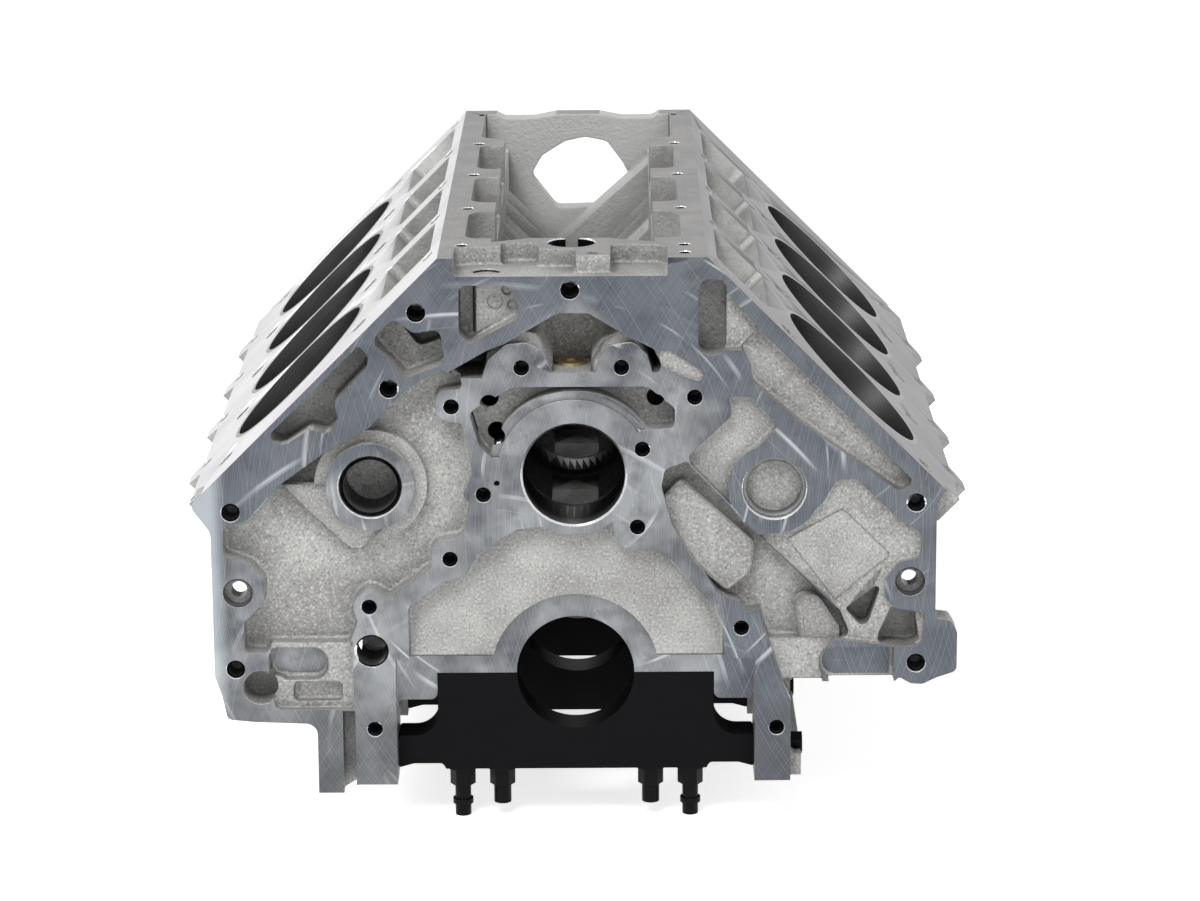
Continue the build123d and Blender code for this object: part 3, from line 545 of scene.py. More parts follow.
def as_object(shape):
    """A scene object from a bmesh."""
    mesh = bpy.data.meshes.new("form")
    shape.to_mesh(mesh)
    shape.free()
    item = bpy.data.objects.new("form", mesh)
    bpy.context.scene.collection.objects.link(item)
    return item


def ahead(a, b, depth):
    """A point of the front layout, a depth behind the machined front face."""
    return (a, depth + FRONT_Y, b)


def above(a, b, depth):
    """A point of a plan, a depth below the rails."""
    return (a, b + FRONT_Y, TOP_Z - depth)


def slab(points, front, back, soft=0.0, place=ahead):
    """A drawn outline made solid between two depths, with its far edge rounded by soft."""
    levels = [(front, 0.0)]
    if soft:
        for k in range(4):
            angle = math.pi / 2 * k / 3
            levels.append((back - soft * (1 - math.sin(angle)), soft * (1 - math.cos(angle))))
    else:
        levels.append((back, 0.0))
    return skin([[place(p.x, p.y, depth) for p in inset(points, amount)]
                 for depth, amount in levels])


def raised(points, front, back, soft):
    """A form that stands up from a floor, with a rounded near edge."""
    return slab(points, back, front, soft)


def pocket(depth, *points, soft=2.2):
    """A recess in the front face, with a rounded floor edge."""
    return slab(rounded(*points), -1, depth, soft)


def drill(at, direction, radius, depth, over=1.0, mouth=0.0):
    """A round tool that goes down from a point, against a direction, with a chamfered mouth."""
    way = Vector(direction).normalized()
    across = way.cross(Vector((0.31, 0.52, 0.79))).normalized()
    beside = way.cross(across)
    sides = 24 if radius < 12 else 64
    levels = [(over, radius), (-depth, radius)]
    if mouth:
        levels = [(over, radius + mouth + over), (-mouth, radius), (-depth, radius)]
    rings = []
    for height, reach in levels:
        middle = Vector(at) + Vector((0, FRONT_Y, 0)) + way * height
        rings.append([
            middle + reach * (math.cos(math.tau * k / sides) * across
                              + math.sin(math.tau * k / sides) * beside)
            for k in range(sides)
        ])
    return skin(rings)


def circle(x, z, radius, sides):
    """Outline of a circle by its centre and radius."""
    return [
        Vector((x + radius * math.cos(math.tau * k / sides),
                z + radius * math.sin(math.tau * k / sides)))
        for k in range(sides)
    ]


def rod(radius, front, back, x=0.0, z=0.0):
    """A round bar along the block."""
    return drill((x, front, z), FORWARD, radius, back - front, 0)


def join(operation, base, others):
    """The base object with the others added to it or cut from it."""
    for other in others:
        modifier = base.modifiers.new("form", "BOOLEAN")
        modifier.operation = operation
        modifier.solver = "MANIFOLD"
        modifier.object = other
    seen = base.evaluated_get(bpy.context.evaluated_depsgraph_get())
    mesh = bpy.data.meshes.new_from_object(seen)
    base.modifiers.clear()
    base.data = mesh
    for other in others:
        bpy.data.objects.remove(other)
    return base


def cut(base, *others):
    """The base object less the others."""
    return join("DIFFERENCE", base, others)


def fuse(base, *others):
    """The base object with the others."""
    return join("UNION", base, others)


def both(*points):
    """A closed outline from its right half, listed from the top to the bottom."""
    return rounded(*points, *[(-p[0], *p[1:]) for p in reversed(points)])


def below_deck(side, drop, t, *radius):
    """A point of the front layout a given drop below a deck face."""
    x, _, z = at_bank(side, 0, DECK_HEIGHT - drop, t)
    return (x, z, *radius)


def body_outline():
    """Section of the block behind its front plate."""
    return both(
        (RAIL_HALF_WIDTH, TOP_Z), below_deck(1, 0, -DECK_EDGE),
        below_deck(1, DECK_THICKNESS, -DECK_EDGE), below_deck(1, DECK_THICKNESS, -70, 5),
        (SKIRT_OUTER, 28.3, 12), (SKIRT_OUTER, -50, 4), (PAN_RAIL_X, -50), (PAN_RAIL_X, PAN_Z),
    )


def plate_outline():
    """Machined front plate with its ears, legs and lower left bracket."""
    return rounded(
        (RAIL_HALF_WIDTH, TOP_Z), below_deck(1, 0, -DECK_EDGE_FRONT),
        (212, 107, 4), (212, 36, 3), (221, 35, 4), (225, 28, 4), (225, 4, 4), (213, 0, 3),
        (205, -4, 6), (198, -3.5, 4), (191, 0.5, 2), (189, -2, 2), (122, -2),
        (SKIRT_OUTER, -14), (SKIRT_OUTER, PAN_Z),
        (-CAP_SEAT_X, PAN_Z - 1.5), (-130, PAN_Z - 1.5, 4), (-138, PAN_Z - 6.5),
        (-153, PAN_Z - 6.5), (-153, -27, 7), (-190, -25.5, 6), (-206, -24, 4), (-209, -9),
        (-213, 3, 6), (-213, 91, 10), (-224, 106, 5), (-222, 112),
        below_deck(-1, 0, -DECK_EDGE_FRONT), (-RAIL_HALF_WIDTH, TOP_Z),
    )


def blank_casting(node):
    """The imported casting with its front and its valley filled, ready to be cut.

    Ears and the outer front are taken off, the drawn plate takes their place, and each of
    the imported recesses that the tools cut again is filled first.
    """
    shape = bmesh.new()
    shape.from_mesh(node.data)
    bmesh.ops.remove_doubles(shape, verts=shape.verts, dist=1e-6)
    casting = as_object(shape)
    body = body_outline()
    frame_box = rounded((-240, -80), (240, -80), (240, 262), (-240, 262))
    ears = cut(slab(frame_box, -2, 20.5), slab(inset(body, -0.3), -3, 22))
    casting = cut(casting, slab(frame_box, -1.5, FIELD_DEPTH), ears)
    front = fuse(slab(plate_outline(), 0, PLATE), slab(body, 10, 19.5))
    front = cut(front, slab(body, 14.6, 22))
    valley = both((64.5, TOP_Z), (64.5, 226), (48.5, 226), (48.5, 196), (10, 157.5))
    rear = rounded((-VALLEY_HALF_WIDTH, TOP_Z), (VALLEY_HALF_WIDTH, TOP_Z),
                   (VALLEY_HALF_WIDTH, 176), (-VALLEY_HALF_WIDTH, 176))
    arch = rounded((-83, 175), (-46, 205), (-20, 216), (-8, 223), (8, 223), (27, 211), (52, 201),
                   (55, 187), (36, 172), (-62, 175))
    kidney = rounded((-119, 206), (-104, 221), (-74, 216), (-73, 190), (-97, 182))
    strip = rounded(below_deck(-1, 2, 57), below_deck(-1, 31, 17), below_deck(-1, 31, 4),
                    below_deck(-1, 18, -20), below_deck(-1, 2, -24))
    chest = rounded((-45, 176), (45, 176), (60, 168), (60, 150), (36, 119), (-36, 119), (-58, 136))
    notch = rounded((-69, 0.5), (-69, 50), (56, 50), (56, 0.5))
    fills = [
        slab(notch, 0, 12, 0, above), slab(valley, 49.5, 488.5), slab(rear, 487.5, LENGTH),
        slab(arch, 13.5, 37), slab(kidney, 13.5, 33), slab(strip, 13.5, 25),
        slab(chest, 13.5, 17), drill((-2, 50, TOP_Z), UP, 14.5, 41, 0),
    ]
    casting = fuse(casting, front)
    for fill in fills:
        casting = fuse(casting, fill)
    return casting


def crank_tools():
    """Cap registers, the step before the first bearing and both shaft bores, at the front."""
    register = both((REGISTER_X, 0), (REGISTER_X, -16.5, 4), (CAP_SEAT_X, -16.5, 4),
                    (CAP_SEAT_X, SEAT_FOOT))
    step = both((CAP_SEAT_X, 12.5), (CAP_SEAT_X, SEAT_FOOT))
    return [
        slab(register, -1, 24), slab(step, -1, FIELD_DEPTH),
        rod(FACE_STEP_RADIUS, -1, FIELD_DEPTH),
        drill((0, 0, 0), FORWARD, MAIN_RADIUS, BEARING_DEPTH, 0.9),
        drill((0, 0, CAM_HEIGHT), FORWARD, CAM_RADIUS, BEARING_DEPTH, 0.9, 1.2),
    ]


def lifter_axis(side, i, step, s):
    """A point s up on a lifter bore, whose axis passes through the camshaft."""
    return at_bank(side, bore_y(side, i) + step * LIFTER_STEP, s, CAM_HEIGHT / ROOT2)


def valley_tools():
    """The open valley with its lifter bosses, rail pockets, rear window and drains."""
    back = LENGTH - REAR_WALL
    vee = both((VALLEY_HALF_WIDTH, TOP_Z + 1), (VALLEY_HALF_WIDTH, 189.4, 6), (6, 147.4))
    wave = rounded((-49, 40), (-49, 46), (-21, 60, 20), (-1, 73, 14), (27, 54, 20), (49, 46),
                   (49, 40))
    ramp = both((70, 245), (70, 120), (0, 120), (0, 174))
    standing = [
        rod(TUNNEL_RADIUS, 0, LENGTH, z=CAM_HEIGHT), slab(wave, -2, 110, 0, above),
        slab(ramp[:-1], 452, 490),
    ]
    length = 97.8
    holes = []
    for side in (-1, 1):
        way = (side, 0, 1)
        for i in range(BORES_PER_BANK):
            for step in (-1, 1):
                at = lifter_axis(side, i, step, LIFTER_TOP)
                standing.append(drill(at, way, BOSS_RADIUS, length))
                holes.append(drill(at, way, LIFTER_RADIUS, length, 0.5, 1.0))
    channel = slab(vee, 44, back)
    for item in standing:
        channel = cut(channel, item)
    tools = [channel, *holes]
    for i in range(BORES_PER_BANK):
        post = RAIL_HOLE_Y + i * BORE_SPACING
        y0, y1, turn = post + 20, post + BORE_SPACING - 8, 16 - 5 * i
        if i == BORES_PER_BANK - 1:
            y1 += 11
        plan = rounded((-63.9, y0, 9), (63.9, y0, 9), (63.9, y1, turn), (-63.9, y1, turn))
        tools.append(slab(plan, -1, 27, 3, above))
        middle = MAIN_1_Y + (i + 0.5) * BORE_SPACING
        y0, y1 = middle - 22, middle + 22
        drain = rounded((-7, y0, 6), (7, y0, 6), (7, y1, 6), (-7, y1, 6))
        tools.append(slab(drain, 80, TOP_Z - CAM_HEIGHT, 0, above))
        for x in (-RAIL_HOLE_X, RAIL_HOLE_X):
            tools.append(drill((x, post, TOP_Z), UP, RAIL_HOLE_RADIUS, 20, 1, 0.5))
    window = rounded(
        (-33, TOP_Z - 43, 8), (-25, TOP_Z - 29, 8), (-9, TOP_Z - 19, 9), (5, TOP_Z - 16, 12),
        (20, TOP_Z - 19, 7), (31, TOP_Z - 34, 10), (36, TOP_Z - 44, 6), (22, TOP_Z - 65, 5),
        (-15, TOP_Z - 66, 7),
    )
    tools.append(slab(window, 487, LENGTH + 1))
    for side in (-1, 1):
        dip = rounded((side * 58, TOP_Z + 1), (side * 51, TOP_Z - 3, 8),
                      (side * 30, TOP_Z - 3, 20), (side * 10, TOP_Z + 1))
        tools.append(slab(dip, 487, LENGTH + 1))
    return tools


def hole_tools():
    """Drilled and threaded holes that the front and its corner of the deck need again."""
    sets = [
        (FACE_HOLES[:3], FACE_HOLE_RADIUS, 25, 1.4), (FACE_HOLES[3:], FACE_HOLE_RADIUS, 16, 1.4),
        (COVER_HOLES, COVER_HOLE_RADIUS, 20, 1.2), (EAR_HOLES, EAR_MOUTH_RADIUS, 9, 0.6),
        (EAR_HOLES, EAR_HOLE_RADIUS, 21, 0), (GALLERIES, GALLERY_RADIUS, 40, 0),
        (PORTS[:1], PORT_RADIUS, 34, 3.0), (PORTS[1:], PORT_RADIUS, 11, 3.0),
        (BRACKET_HOLES, BRACKET_HOLE_RADIUS, 30, 1.2), (CORNER_HOLES, 10, 18, 0.8),
        (SMALL_HOLES, 1.8, 8, 0),
    ]
    tools = [
        drill((x, 0, z), FORWARD, radius, depth, 1.0, mouth)
        for points, radius, depth, mouth in sets
        for x, z in points
    ]
    for t, radius, depth in DECK_HOLES:
        at = at_bank(1, FRONT_HOLE_Y, DECK_HEIGHT, t)
        tools.append(drill(at, (1, 0, 1), radius, depth, 1, 0.6))
    for x in (12, RAIL_HOLE_X):
        tools.append(drill((x, FRONT_HOLE_Y, TOP_Z), UP, RAIL_HOLE_RADIUS, 12, 1, 0.5))
    return tools


def band_tools():
    """Recesses in the machined band across the top of the front face."""
    recess = [
        below_deck(1, 9, 73, 3), below_deck(1, 24, 73, 3), below_deck(1, 29, 61, 4),
        below_deck(1, 34, 54, 5), below_deck(1, 31.5, 19, 30), below_deck(1, 20, -54, 5),
        below_deck(1, 9.5, -57, 5),
    ]
    strip = [
        below_deck(-1, 3.5, 56, 2), below_deck(-1, 12, 55, 4), below_deck(-1, 16, 50, 4),
        below_deck(-1, 17, 21, 4), below_deck(-1, 26, 16, 4), below_deck(-1, 28, 5, 4),
        below_deck(-1, 18, 0, 6), below_deck(-1, 14, -18, 5), below_deck(-1, 3.5, -22, 4),
    ]
    marks = [
        slab(circle(x, z, radius, 20), 11.2, 13)
        for x, z, radius in ((-45, 226, 4.5), (-38, 233, 3), (-35, 224, 3))
    ]
    return [
        pocket(12, (-66, 238, 6), (-37, 238, 5), (-31, 226, 4), (-31, 219, 4), (-60, 203, 5),
               (-66, 209, 5)),
        pocket(20, (-66, 238, 5), (-56, 238, 2), (-56, 206, 2), (-60, 203, 3), (-66, 209, 4)),
        pocket(20, (-117, 205, 6), (-104, 219, 5), (-92, 210, 6), (-77, 212.5, 5), (-74, 192, 6),
               (-97, 183.5, 5)),
        pocket(32, (-104, 217, 1), (-92, 210, 6), (-77, 212.5, 5), (-75.5, 203, 4), (-90, 198, 5),
               soft=1.2),
        pocket(22, (72.5, 241, 6), (89, 241, 6), (89, 196, 7), (72.5, 196, 7), soft=3),
        pocket(8, (88, 234), (108, 212, 3), (97, 199, 3), (88, 199)),
        pocket(8.5, *recess), pocket(24, *strip, soft=3), *marks,
        pocket(1.6, (49, 199, 2), (56, 199, 3), (76, 186, 3), (74, 180, 3), (62, 184, 3),
               (50, 190, 2), soft=0.5),
    ]


def left_tools():
    """Deep cast field left of the timing cover, with its ports and lump left standing."""
    field = pocket(
        FIELD_DEPTH, below_deck(-1, 58, 84, 4), below_deck(-1, 46, 78, 3),
        below_deck(-1, 41, 56, 6),
        below_deck(-1, 42, 25, 8), below_deck(-1, 34, -3, 10), below_deck(-1, 28, -40, 6),
        (-191, 99, 6), (-206, 93, 5), (-206, 77, 5), (-190, 71, 6), (-182, 62, 6), (-183, 48, 4),
        (-195, 36, 4), (-195, 17, 4), (-182, 17, 3), (-179, 22, 2), (-133, 22, 4), (-128, 36),
        (-131, 48, 6), (-121, 57, 6), (-109, 51, 3), (-84, 69, 2), (-84, 84, 8), (-65, 87, 6),
        (-61, 108, 4), (-65, 113, 4), (-59, 126), (-65, 156), (-80, 159, 6), (-80, 175, 6),
        (-64, 177, 3),
    )
    lump = rounded((-171, 119), (-158, 105, 4), (-131, 79, 5), (-124, 80, 4), (-106, 98),
                   (-119, 118))
    field = cut(field, rod(26, -2, PAST_FIELD, *PORTS[0]))
    field = cut(field, rod(33, 6, PAST_FIELD, *PORTS[0]))
    field = cut(field, raised(lump, 6, PAST_FIELD, 2.0))
    return [
        field,
        pocket(5, (-180, 24), (-131, 24), (-131, -18, 4), (-178, -18, 5), soft=0.8),
        pocket(LEFT_SLOT_DEPTH, (-181, 19, 5), (-146, 19, 9), (-146, -1, 9), (-172, -1),
               (-172, 0), (-181, 3)),
        pocket(10, (-167, -2, 3), (-138, -2, 3), (-138, -14, 3), (-167, -14, 3)),
        pocket(12, (-138, -19), (-130.5, -19), (-130.5, -75), (-138, -75), soft=1),
    ]


def right_tools():
    """Cast fields right of the timing cover: shelf, raised pad, deep corner and pockets."""
    shelf = pocket(6, (88, 172, 3), (103, 171, 3), (119.5, 154, 4), (100, 133, 6), (91, 117, 6),
                   (92, 106), (68, 131, 2), (67, 136, 3), (92, 160, 3))
    pad = pocket(3.5, (108, 88), (126, 91, 12), (145, 107, 6), (153, 121, 5), (165, 121.5, 3),
                 (190, 97, 4), (203, 89, 5), (203, 74, 4), (190, 71, 5), (182, 60, 4),
                 (182, 50, 3), (188, 43, 3), (206, 40), (204, 20, 4), (190, 19.5), (150, 24),
                 (155, 41), (150, 48), soft=1.5)
    corner = pocket(FIELD_DEPTH, (66, 133, 2), (53, 128, 4), (51, 117, 6), (57, 95), (66, 78),
                    (84, 53, 4), (90, 49.5, 3), (97, 47, 2), (101, 41), (109, 42), (110.5, 33),
                    (114, 23.5), (150, 23.5), (163, 24, 4), (156, 41, 3), (108, 88), (70, 128),
                    soft=3)
    panel = rounded((125, 85, 1.5), (153, 48, 1.5), (185, 75, 1.5), (157, 103, 1.5))
    swell = rounded((48, 106, 4), (63, 121, 4), (106, 82, 8), (104, 64, 9), (90, 52, 4),
                    (44, 90, 4))
    bump = rounded((128, 50, 6), (143, 50, 8), (156, 30, 4), (156, 20), (133, 20, 3))
    shelf, pad, corner = (
        cut(form, rod(27, -2, PAST_FIELD, *PORTS[1])) for form in (shelf, pad, corner)
    )
    pad = cut(pad, raised(panel, 2.9, 5, 0.4))
    corner = cut(corner, raised(swell, 10, PAST_FIELD, 3))
    corner = cut(corner, raised(bump, 9, PAST_FIELD, 3.5))
    return [
        shelf, pad, corner,
        pocket(7, (114, 24), (123, -3), (146, -3), (144, 8, 6), (152, 24)),
        pocket(18, (181, 59, 3), (177, 46, 3), (171, 28, 4), (159, 42, 2), soft=1.5),
        pocket(18, (186, 43, 2), (200, 41, 2), (203, 22, 4), (196, 19, 4), (178, 20.5, 4),
               (179, 27, 2), soft=1.5),
        pocket(RIGHT_SLOT_DEPTH, (144, 19, 10), (188, 19), (188, -3), (144, -3, 10)),
    ]


def chest_tools():
    """Recesses inside and above the timing cover flange."""
    deep = pocket(
        ARCH_DEPTH, (-72, 187), (-50, 199.5), (-39.5, 203.5), (-20, 215, 6), (-9, 221.5, 8),
        (9, 221.5, 8), (27, 210.5, 3), (38, 204.5, 2), (47, 200, 3), (51.5, 190, 3),
        (49.5, 186, 2), (-54, 183, 3), (-66, 183, 3), soft=3,
    )
    collars = [
        [(-51, 184), (-50, 196, 4), (-40, 206, 3), (-30, 210, 4), (-20, 209, 6), (-12, 191, 4),
         (-12, 184)],
        [(10, 184), (11, 194, 4), (17, 204, 6), (28, 211, 6), (38, 207, 4), (46, 188), (46, 184)],
    ]
    bosses = [
        [(-53, 183), (-49, 194, 6), (-39, 203, 5), (-27, 203.5, 6), (-18, 199, 5), (-12, 186)],
        [(13, 186), (16, 196, 5), (21, 202, 5), (35, 204, 7), (43, 196, 4), (46, 186)],
    ]
    past = ARCH_DEPTH + 1
    deep = cut(deep, slab(rounded((-51, 186), (52, 186), (52, 170), (-54, 170)), -2, past))
    for points in collars:
        deep = cut(deep, raised(rounded(*points), 6, past, 2))
    for points in bosses:
        deep = cut(deep, slab(rounded(*points), -2, past))
    up = CAM_HEIGHT
    chest = [
        (-35, up + 53, 12), (43, up + 53, 9), (59, up + 40, 4), (59, up + 28, 4),
        (36, up + 26.5, 6), (34, up - 5), (-34, up - 5), (-38, up + 12, 3), (-47, up + 10, 4),
        (-55, up + 17, 4), (-61, up + 38, 5),
    ]
    window = cut(pocket(CHEST_DEPTH, *chest), rod(RING_RADIUS, -2, CHEST_DEPTH + 1, z=up))
    ring = cut(rod(RING_RADIUS, -1, RING_DEPTH, z=up),
               rod(RING_INNER_RADIUS, -2, RING_DEPTH + 1, z=up))
    ring = join("INTERSECT", ring, [pocket(CHEST_DEPTH, *chest)])
    apron = pocket(
        APRON_DEPTH, (-98, 12), (-98, 45, 4), (-78, 60, 6), (-63, 65, 4), (-57, 77, 4),
        (-34, 92), (22, 98),
        (24, 86, 3), (31, 79, 5), (47, 79, 5), (57, 73), (79, 47, 8), (88, 30), (88, 12),
        soft=2.5,
    )
    apron = cut(apron, rod(36, -2, APRON_DEPTH + 1, z=up))
    return [deep, window, ring, apron]


def shelf_tools():
    """Stepped notch in the top of the front crossbar."""
    plan = rounded(
        (-69, -1), (-69, 30, 5), (-58, 34, 4), (-42, 34), (-42, 44, 4), (-20, 44, 4),
        (-20, 27, 3), (2, 27, 3), (2, 8), (22, 8), (22, 39, 4), (50, 38, 5), (55, 30), (55, -1),
    )
    return [
        slab(plan, -1, SHELF_DEPTH, 2, above),
        drill((*SHELF_PAD, TOP_Z - SHELF_DEPTH), UP, SHELF_PAD_RADIUS, 2, mouth=1),
        drill((*CROSSBAR_BORE, TOP_Z), UP, CROSSBAR_BORE_RADIUS, 30, 1, 0.8),
    ]


def smooth(item, name):
    """Names a finished piece, and shades its curved walls smooth and its flats flat."""
    item.name = item.data.name = name
    item.data.shade_smooth()
    item.data.set_sharp_from_angle(angle=SHARP_ANGLE)
    even = item.modifiers.new("even", "WEIGHTED_NORMAL")
    even.keep_sharp = True
    even.weight = 90
    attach(item, "root")
    return item


def shaped_casting(node):
    """The casting as the photograph shows it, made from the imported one."""
    casting = blank_casting(node)
    groups = [
        crank_tools, valley_tools, band_tools, left_tools, right_tools, chest_tools, shelf_tools,
        hole_tools,
    ]
    for group in groups:
        tools = group()
        merged = fuse(tools[0], *tools[1:])
        casting = cut(casting, merged)
    smooth(casting, "casting_surface")
    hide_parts("block_casting")
    return casting


def gallery_plug():
    """Brass plug with a hexagon socket in the floor of the arch."""
    body = drill((*PLUG_AT, PLUG_TOP), UP, 9.5, 11, 0)
    socket = circle(*PLUG_AT, 4.6, 6)
    depth = TOP_Z - PLUG_TOP
    body = cut(body, slab(socket, depth - 2.5, depth + 5, 0, above))
    return smooth(body, "gallery_plug")


def face_table(node):
    """Centre, in millimetres from the front face, and normal of each triangle of a node."""
    mesh = node.data
    count = len(mesh.polygons)
    centre = np.zeros(count * 3)
    normal = np.zeros(count * 3)
    mesh.polygons.foreach_get("center", centre)
    mesh.polygons.foreach_get("normal", normal)
    centre = centre.reshape(-1, 3) / MM - (0, FRONT_Y, 0)
    return centre, normal.reshape(-1, 3)


def round_axes():
    """Every bored or drilled axis: a point, a direction and a radius."""
    found = [((0, 0, 0), BACKWARD, MAIN_RADIUS), ((0, 0, CAM_HEIGHT), BACKWARD, CAM_RADIUS)]
    for points, radius in (
        (FACE_HOLES, FACE_HOLE_RADIUS), (COVER_HOLES, COVER_HOLE_RADIUS),
        (EAR_HOLES, EAR_MOUTH_RADIUS), (EAR_HOLES, EAR_HOLE_RADIUS), (PORTS, PORT_RADIUS),
        (GALLERIES, GALLERY_RADIUS), (BRACKET_HOLES, BRACKET_HOLE_RADIUS),
    ):
        found += [((x, 0, z), BACKWARD, radius) for x, z in points]
    for side in (-1, 1):
        down = (side / ROOT2, 0, 1 / ROOT2)
        for i in range(BORES_PER_BANK + 1):
            y = bore_y(side, i) - BORE_SPACING / 2
            for t, radius, _ in DECK_HOLES:
                found.append((at_bank(side, y, DECK_HEIGHT, t), down, radius))
            post = RAIL_HOLE_Y + i * BORE_SPACING
            found.append(((side * RAIL_HOLE_X, post, 0), UP, RAIL_HOLE_RADIUS))
        for i in range(BORES_PER_BANK):
            y = bore_y(side, i)
            outer = at_bank(side, y, DECK_HEIGHT, OUTER_DECK_HOLE_T)
            found.append((outer, down, OUTER_DECK_HOLE_RADIUS))
            for step in (-LIFTER_STEP, LIFTER_STEP):
                found.append(((0, y + step, 0), down, LIFTER_RADIUS))
        found.append(((side * RAIL_HOLE_X, FRONT_HOLE_Y, 0), UP, RAIL_HOLE_RADIUS))
    found.append(((*CROSSBAR_BORE, 0), UP, CROSSBAR_BORE_RADIUS))
    found.append(((*SHELF_PAD, 0), UP, SHELF_PAD_RADIUS))
    return found


def dress(node, materials, kind=None):
    """Gives a node its finishes, and each triangle the one that its kind says."""
    node.data.materials.clear()
    for material in materials:
        node.data.materials.append(material)
    if kind is not None:
        node.data.polygons.foreach_set("material_index", kind.astype(np.int32))
        node.data.update()


def mark_flats(kind, centre, normal):
    """Classes the machined flats of the casting by how they face and where they lie."""
    x, y, z = centre.T
    nx, ny, nz = normal.T
    side = np.sign(x)
    lift = (z + np.abs(x)) / ROOT2
    ahead_of, behind, under, over = ny < -FLAT, ny > FLAT, nz < -FLAT, nz > FLAT
    slots = (np.abs(y - RIGHT_SLOT_DEPTH) < ON_LEVEL) & (x > 143) & (x < 189) & (z < 20)
    slots |= (np.abs(y - LEFT_SLOT_DEPTH) < ON_LEVEL) & (x < -140) & (x > -182) & (z < 20)
    step = (np.abs(y - FIELD_DEPTH) < ON_LEVEL) & (np.abs(x) < CAP_SEAT_X + 1)
    step &= z < FACE_STEP_RADIUS + 1
    ring = (np.abs(y - RING_DEPTH) < ON_LEVEL) & (np.hypot(x, z - CAM_HEIGHT) < RING_RADIUS + 1)
    kind[ahead_of & ((np.abs(y) < ON_LEVEL) | slots | step | ring)] = FRONT
    kind[((nx * side + nz) / ROOT2 > FLAT) & (np.abs(lift - DECK_HEIGHT) < ON_LEVEL)] = DECK
    kind[over & (np.abs(z - TOP_Z) < 0.3)] = RAIL
    kind[behind & (np.abs(y - LENGTH) < 0.3)] = RAIL
    kind[under & ((z < PAN_Z + 0.2) | (np.abs(z) < ON_LEVEL))] = RAIL
    reach = np.abs(x)
    beside = (np.abs(reach - REGISTER_X) < 0.2) | (np.abs(reach - CAP_SEAT_X) < 0.2)
    kind[(np.abs(nx) > FLAT) & (z < 1) & beside] = RAIL


def mark_rounds(kind, centre, normal):
    """Classes the walls of bores and holes, and the chamfers at their mouths.

    A hole's mouth lies on the front face, the rails or a deck, at a rise along its axis.
    """
    for point, direction, radius in round_axes():
        axis = np.array(direction, float)
        rise = 0 if direction[1] else (TOP_Z if direction[0] == 0 else DECK_HEIGHT * ROOT2)
        offset = centre - np.array(point, float)
        along = offset @ axis
        distance = np.linalg.norm(offset - np.outer(along, axis), axis=1)
        tilt = np.abs(normal @ axis)
        wall = (np.abs(distance - radius) < 0.25) & (tilt < 0.2)
        if rise:
            wall &= along > rise - WALL_DEPTH
        mouth = (distance > radius - 0.2) & (distance < radius + 3.2) & (tilt > 0.3) & (tilt < 0.9)
        kind[wall] = BORED
        kind[mouth & (np.abs(along - rise) < 4)] = CHAMFER


def dress_casting(node, materials):
    """Gives each triangle of the casting its finish."""
    centre, normal = face_table(node)
    kind = np.full(len(centre), CAST)
    mark_flats(kind, centre, normal)
    mark_rounds(kind, centre, normal)
    dress(node, materials, kind)


def dress_cap(node, black, bored):
    """Gives a main cap its black finish, with its bearing bore left bright."""
    centre, normal = face_table(node)
    distance = np.hypot(centre[:, 0], centre[:, 2])
    kind = (np.abs(distance - MAIN_RADIUS) < 0.6) & (np.abs(normal[:, 1]) < 0.2)
    dress(node, [black, bored], kind)


def add_camera():
    """The camera that took the photograph."""
    cos_t, sin_t = math.cos(CAMERA_TILT), math.sin(CAMERA_TILT)
    cos_y, sin_y = math.cos(CAMERA_YAW), math.sin(CAMERA_YAW)
    view = Vector((sin_y * cos_t, cos_y * cos_t, -sin_t))
    right = Vector((cos_y, -sin_y, 0))
    up = right.cross(view)
    cos_r, sin_r = math.cos(CAMERA_ROLL), math.sin(CAMERA_ROLL)
    right, up = cos_r * right + sin_r * up, cos_r * up - sin_r * right
    data = bpy.data.cameras.new("photo_camera")
    data.sensor_width = SENSOR_MM
    data.lens = FOCAL_PX * SENSOR_MM / PHOTO_SIZE[0]
    data.clip_start, data.clip_end = 0.05, 50
    camera = bpy.data.objects.new("photo_camera", data)
    bpy.context.scene.collection.objects.link(camera)
    at = Vector(CAMERA_AT) * MM + Vector((0, FRONT_Y * MM, 0))
    turn = Matrix((right, up, -view)).transposed()
    camera.matrix_world = Matrix.Translation(at) @ turn.to_4x4()
    bpy.context.scene.camera = camera


def background_share(tree):
    """1 for rays that should see the plain white background, and 0 for light on the object."""
    path = tree.nodes.new("ShaderNodeLightPath")
    total = path.outputs["Is Camera Ray"]
    for name in ("Is Glossy Ray", "Is Transmission Ray"):
        node = tree.nodes.new("ShaderNodeMath")
        node.operation = "MAXIMUM"
        tree.links.new(total, node.inputs[0])
        tree.links.new(path.outputs[name], node.inputs[1])
        total = node.outputs[0]
    return total


def add_world():
    """White surroundings, dimmer for the light that falls on the object."""
    world = bpy.data.worlds.new("studio")
    bpy.context.scene.world = world
    world.use_nodes = True
    tree = world.node_tree
    sky = tree.nodes["Background"]
    sky.inputs["Color"].default_value = (1, 1, 1, 1)
    mix = tree.nodes.new("ShaderNodeMapRange")
    mix.inputs["To Min"].default_value = WORLD_LIGHT
    mix.inputs["To Max"].default_value = 1.0
    tree.links.new(background_share(tree), mix.inputs["Value"])
    tree.links.new(mix.outputs[0], sky.inputs["Strength"])


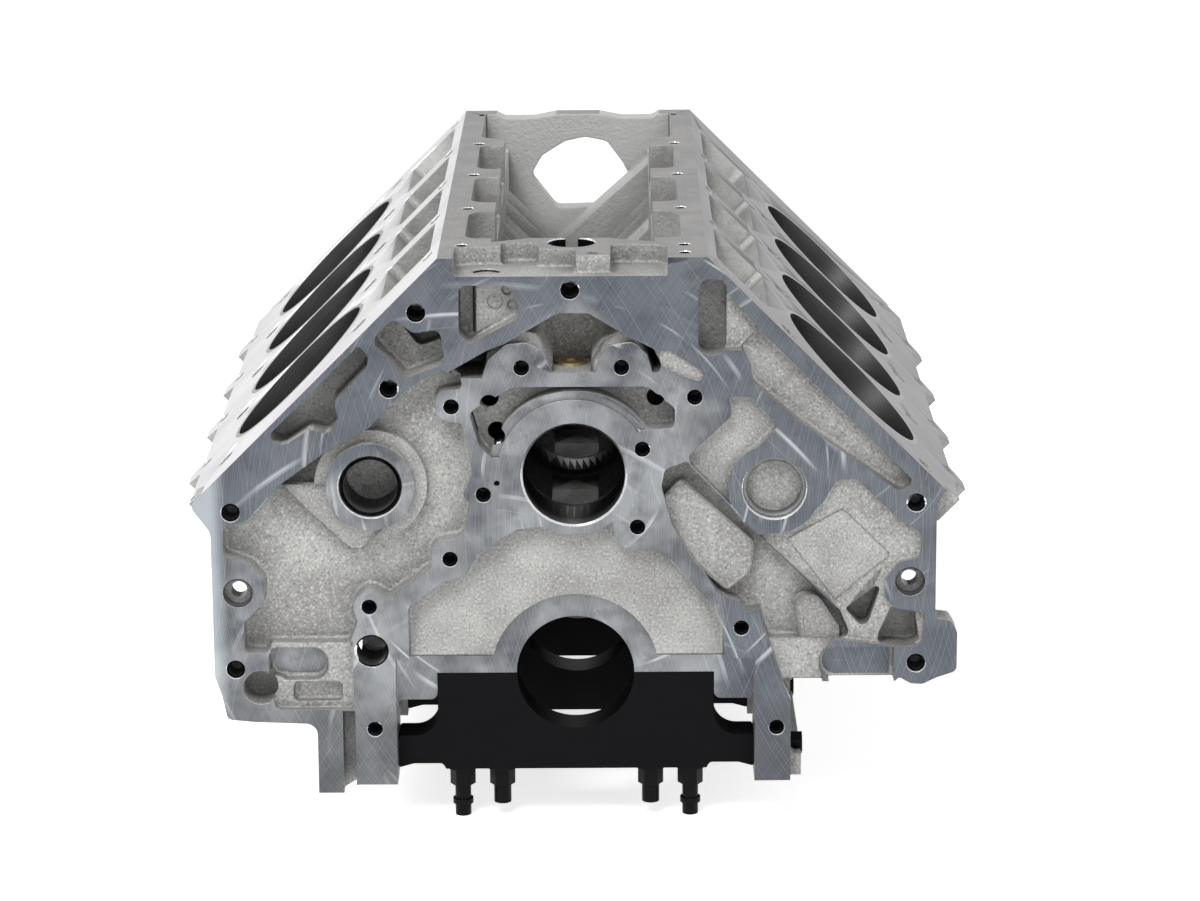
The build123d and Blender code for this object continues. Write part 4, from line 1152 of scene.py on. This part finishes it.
def add_floor(low):
    """Plain pale floor under the object, which keeps its shadow."""
    size = FLOOR_HALF_SIZE
    mesh = bpy.data.meshes.new("floor")
    corners = [(-size, -size, low), (size, -size, low), (size, size, low), (-size, size, low)]
    mesh.from_pydata(corners, [], [(0, 1, 2, 3)])
    floor = bpy.data.objects.new("floor", mesh)
    bpy.context.scene.collection.objects.link(floor)
    g = Graph("floor", (0.96, 0.96, 0.96), 0.0, 0.7)
    glow = g.tree.nodes.new("ShaderNodeMath")
    glow.operation = "MULTIPLY"
    g.tree.links.new(background_share(g.tree), glow.inputs[0])
    glow.inputs[1].default_value = FLOOR_GLOW
    g.shader.inputs["Emission Color"].default_value = (1, 1, 1, 1)
    g.tree.links.new(glow.outputs[0], g.shader.inputs["Emission Strength"])
    mesh.materials.append(g.material)


def add_lamp(name, at, target, size, watts):
    """A soft square lamp that points at a target, in metres."""
    data = bpy.data.lights.new(name, "AREA")
    data.shape = "RECTANGLE"
    data.size = data.size_y = size
    data.energy = watts
    lamp = bpy.data.objects.new(name, data)
    bpy.context.scene.collection.objects.link(lamp)
    lamp.location = at
    lamp.rotation_mode = "QUATERNION"
    lamp.rotation_quaternion = (Vector(target) - Vector(at)).to_track_quat("-Z", "Y")


def main():
    """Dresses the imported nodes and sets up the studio."""
    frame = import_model()
    cad_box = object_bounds()
    nodes = frame["nodes"]
    bpy.context.scene.view_settings.view_transform = "Standard"
    add_camera()
    add_world()
    add_floor(cad_box[0].z)
    for name, at, size, watts in LAMPS:
        add_lamp(name, at, LAMPS_AIM, size, watts)
    finishes = [
        cast_skin(), front_metal(), deck_metal(), rail_metal(), bored_metal(), bright_chamfer(),
    ]
    dress_casting(shaped_casting(nodes["block_casting"]), finishes)
    dress(gallery_plug(), [brass()])
    iron = honed_iron()
    cap = black_oxide("cap_black", (0.0018, 0.0017, 0.0026), 0.5)
    steel = black_oxide("stud_black", (0.004, 0.004, 0.005), 0.32)
    plug = plated_steel()
    for name, node in nodes.items():
        if name.startswith("liner"):
            dress(node, [iron])
        elif name.startswith("main_cap"):
            dress_cap(node, cap, finishes[BORED])
        elif name.startswith(("main_studs", "main_nuts", "main_washers", "cross_bolts")):
            dress(node, [steel])
        elif name != "block_casting":
            dress(node, [plug])


main()
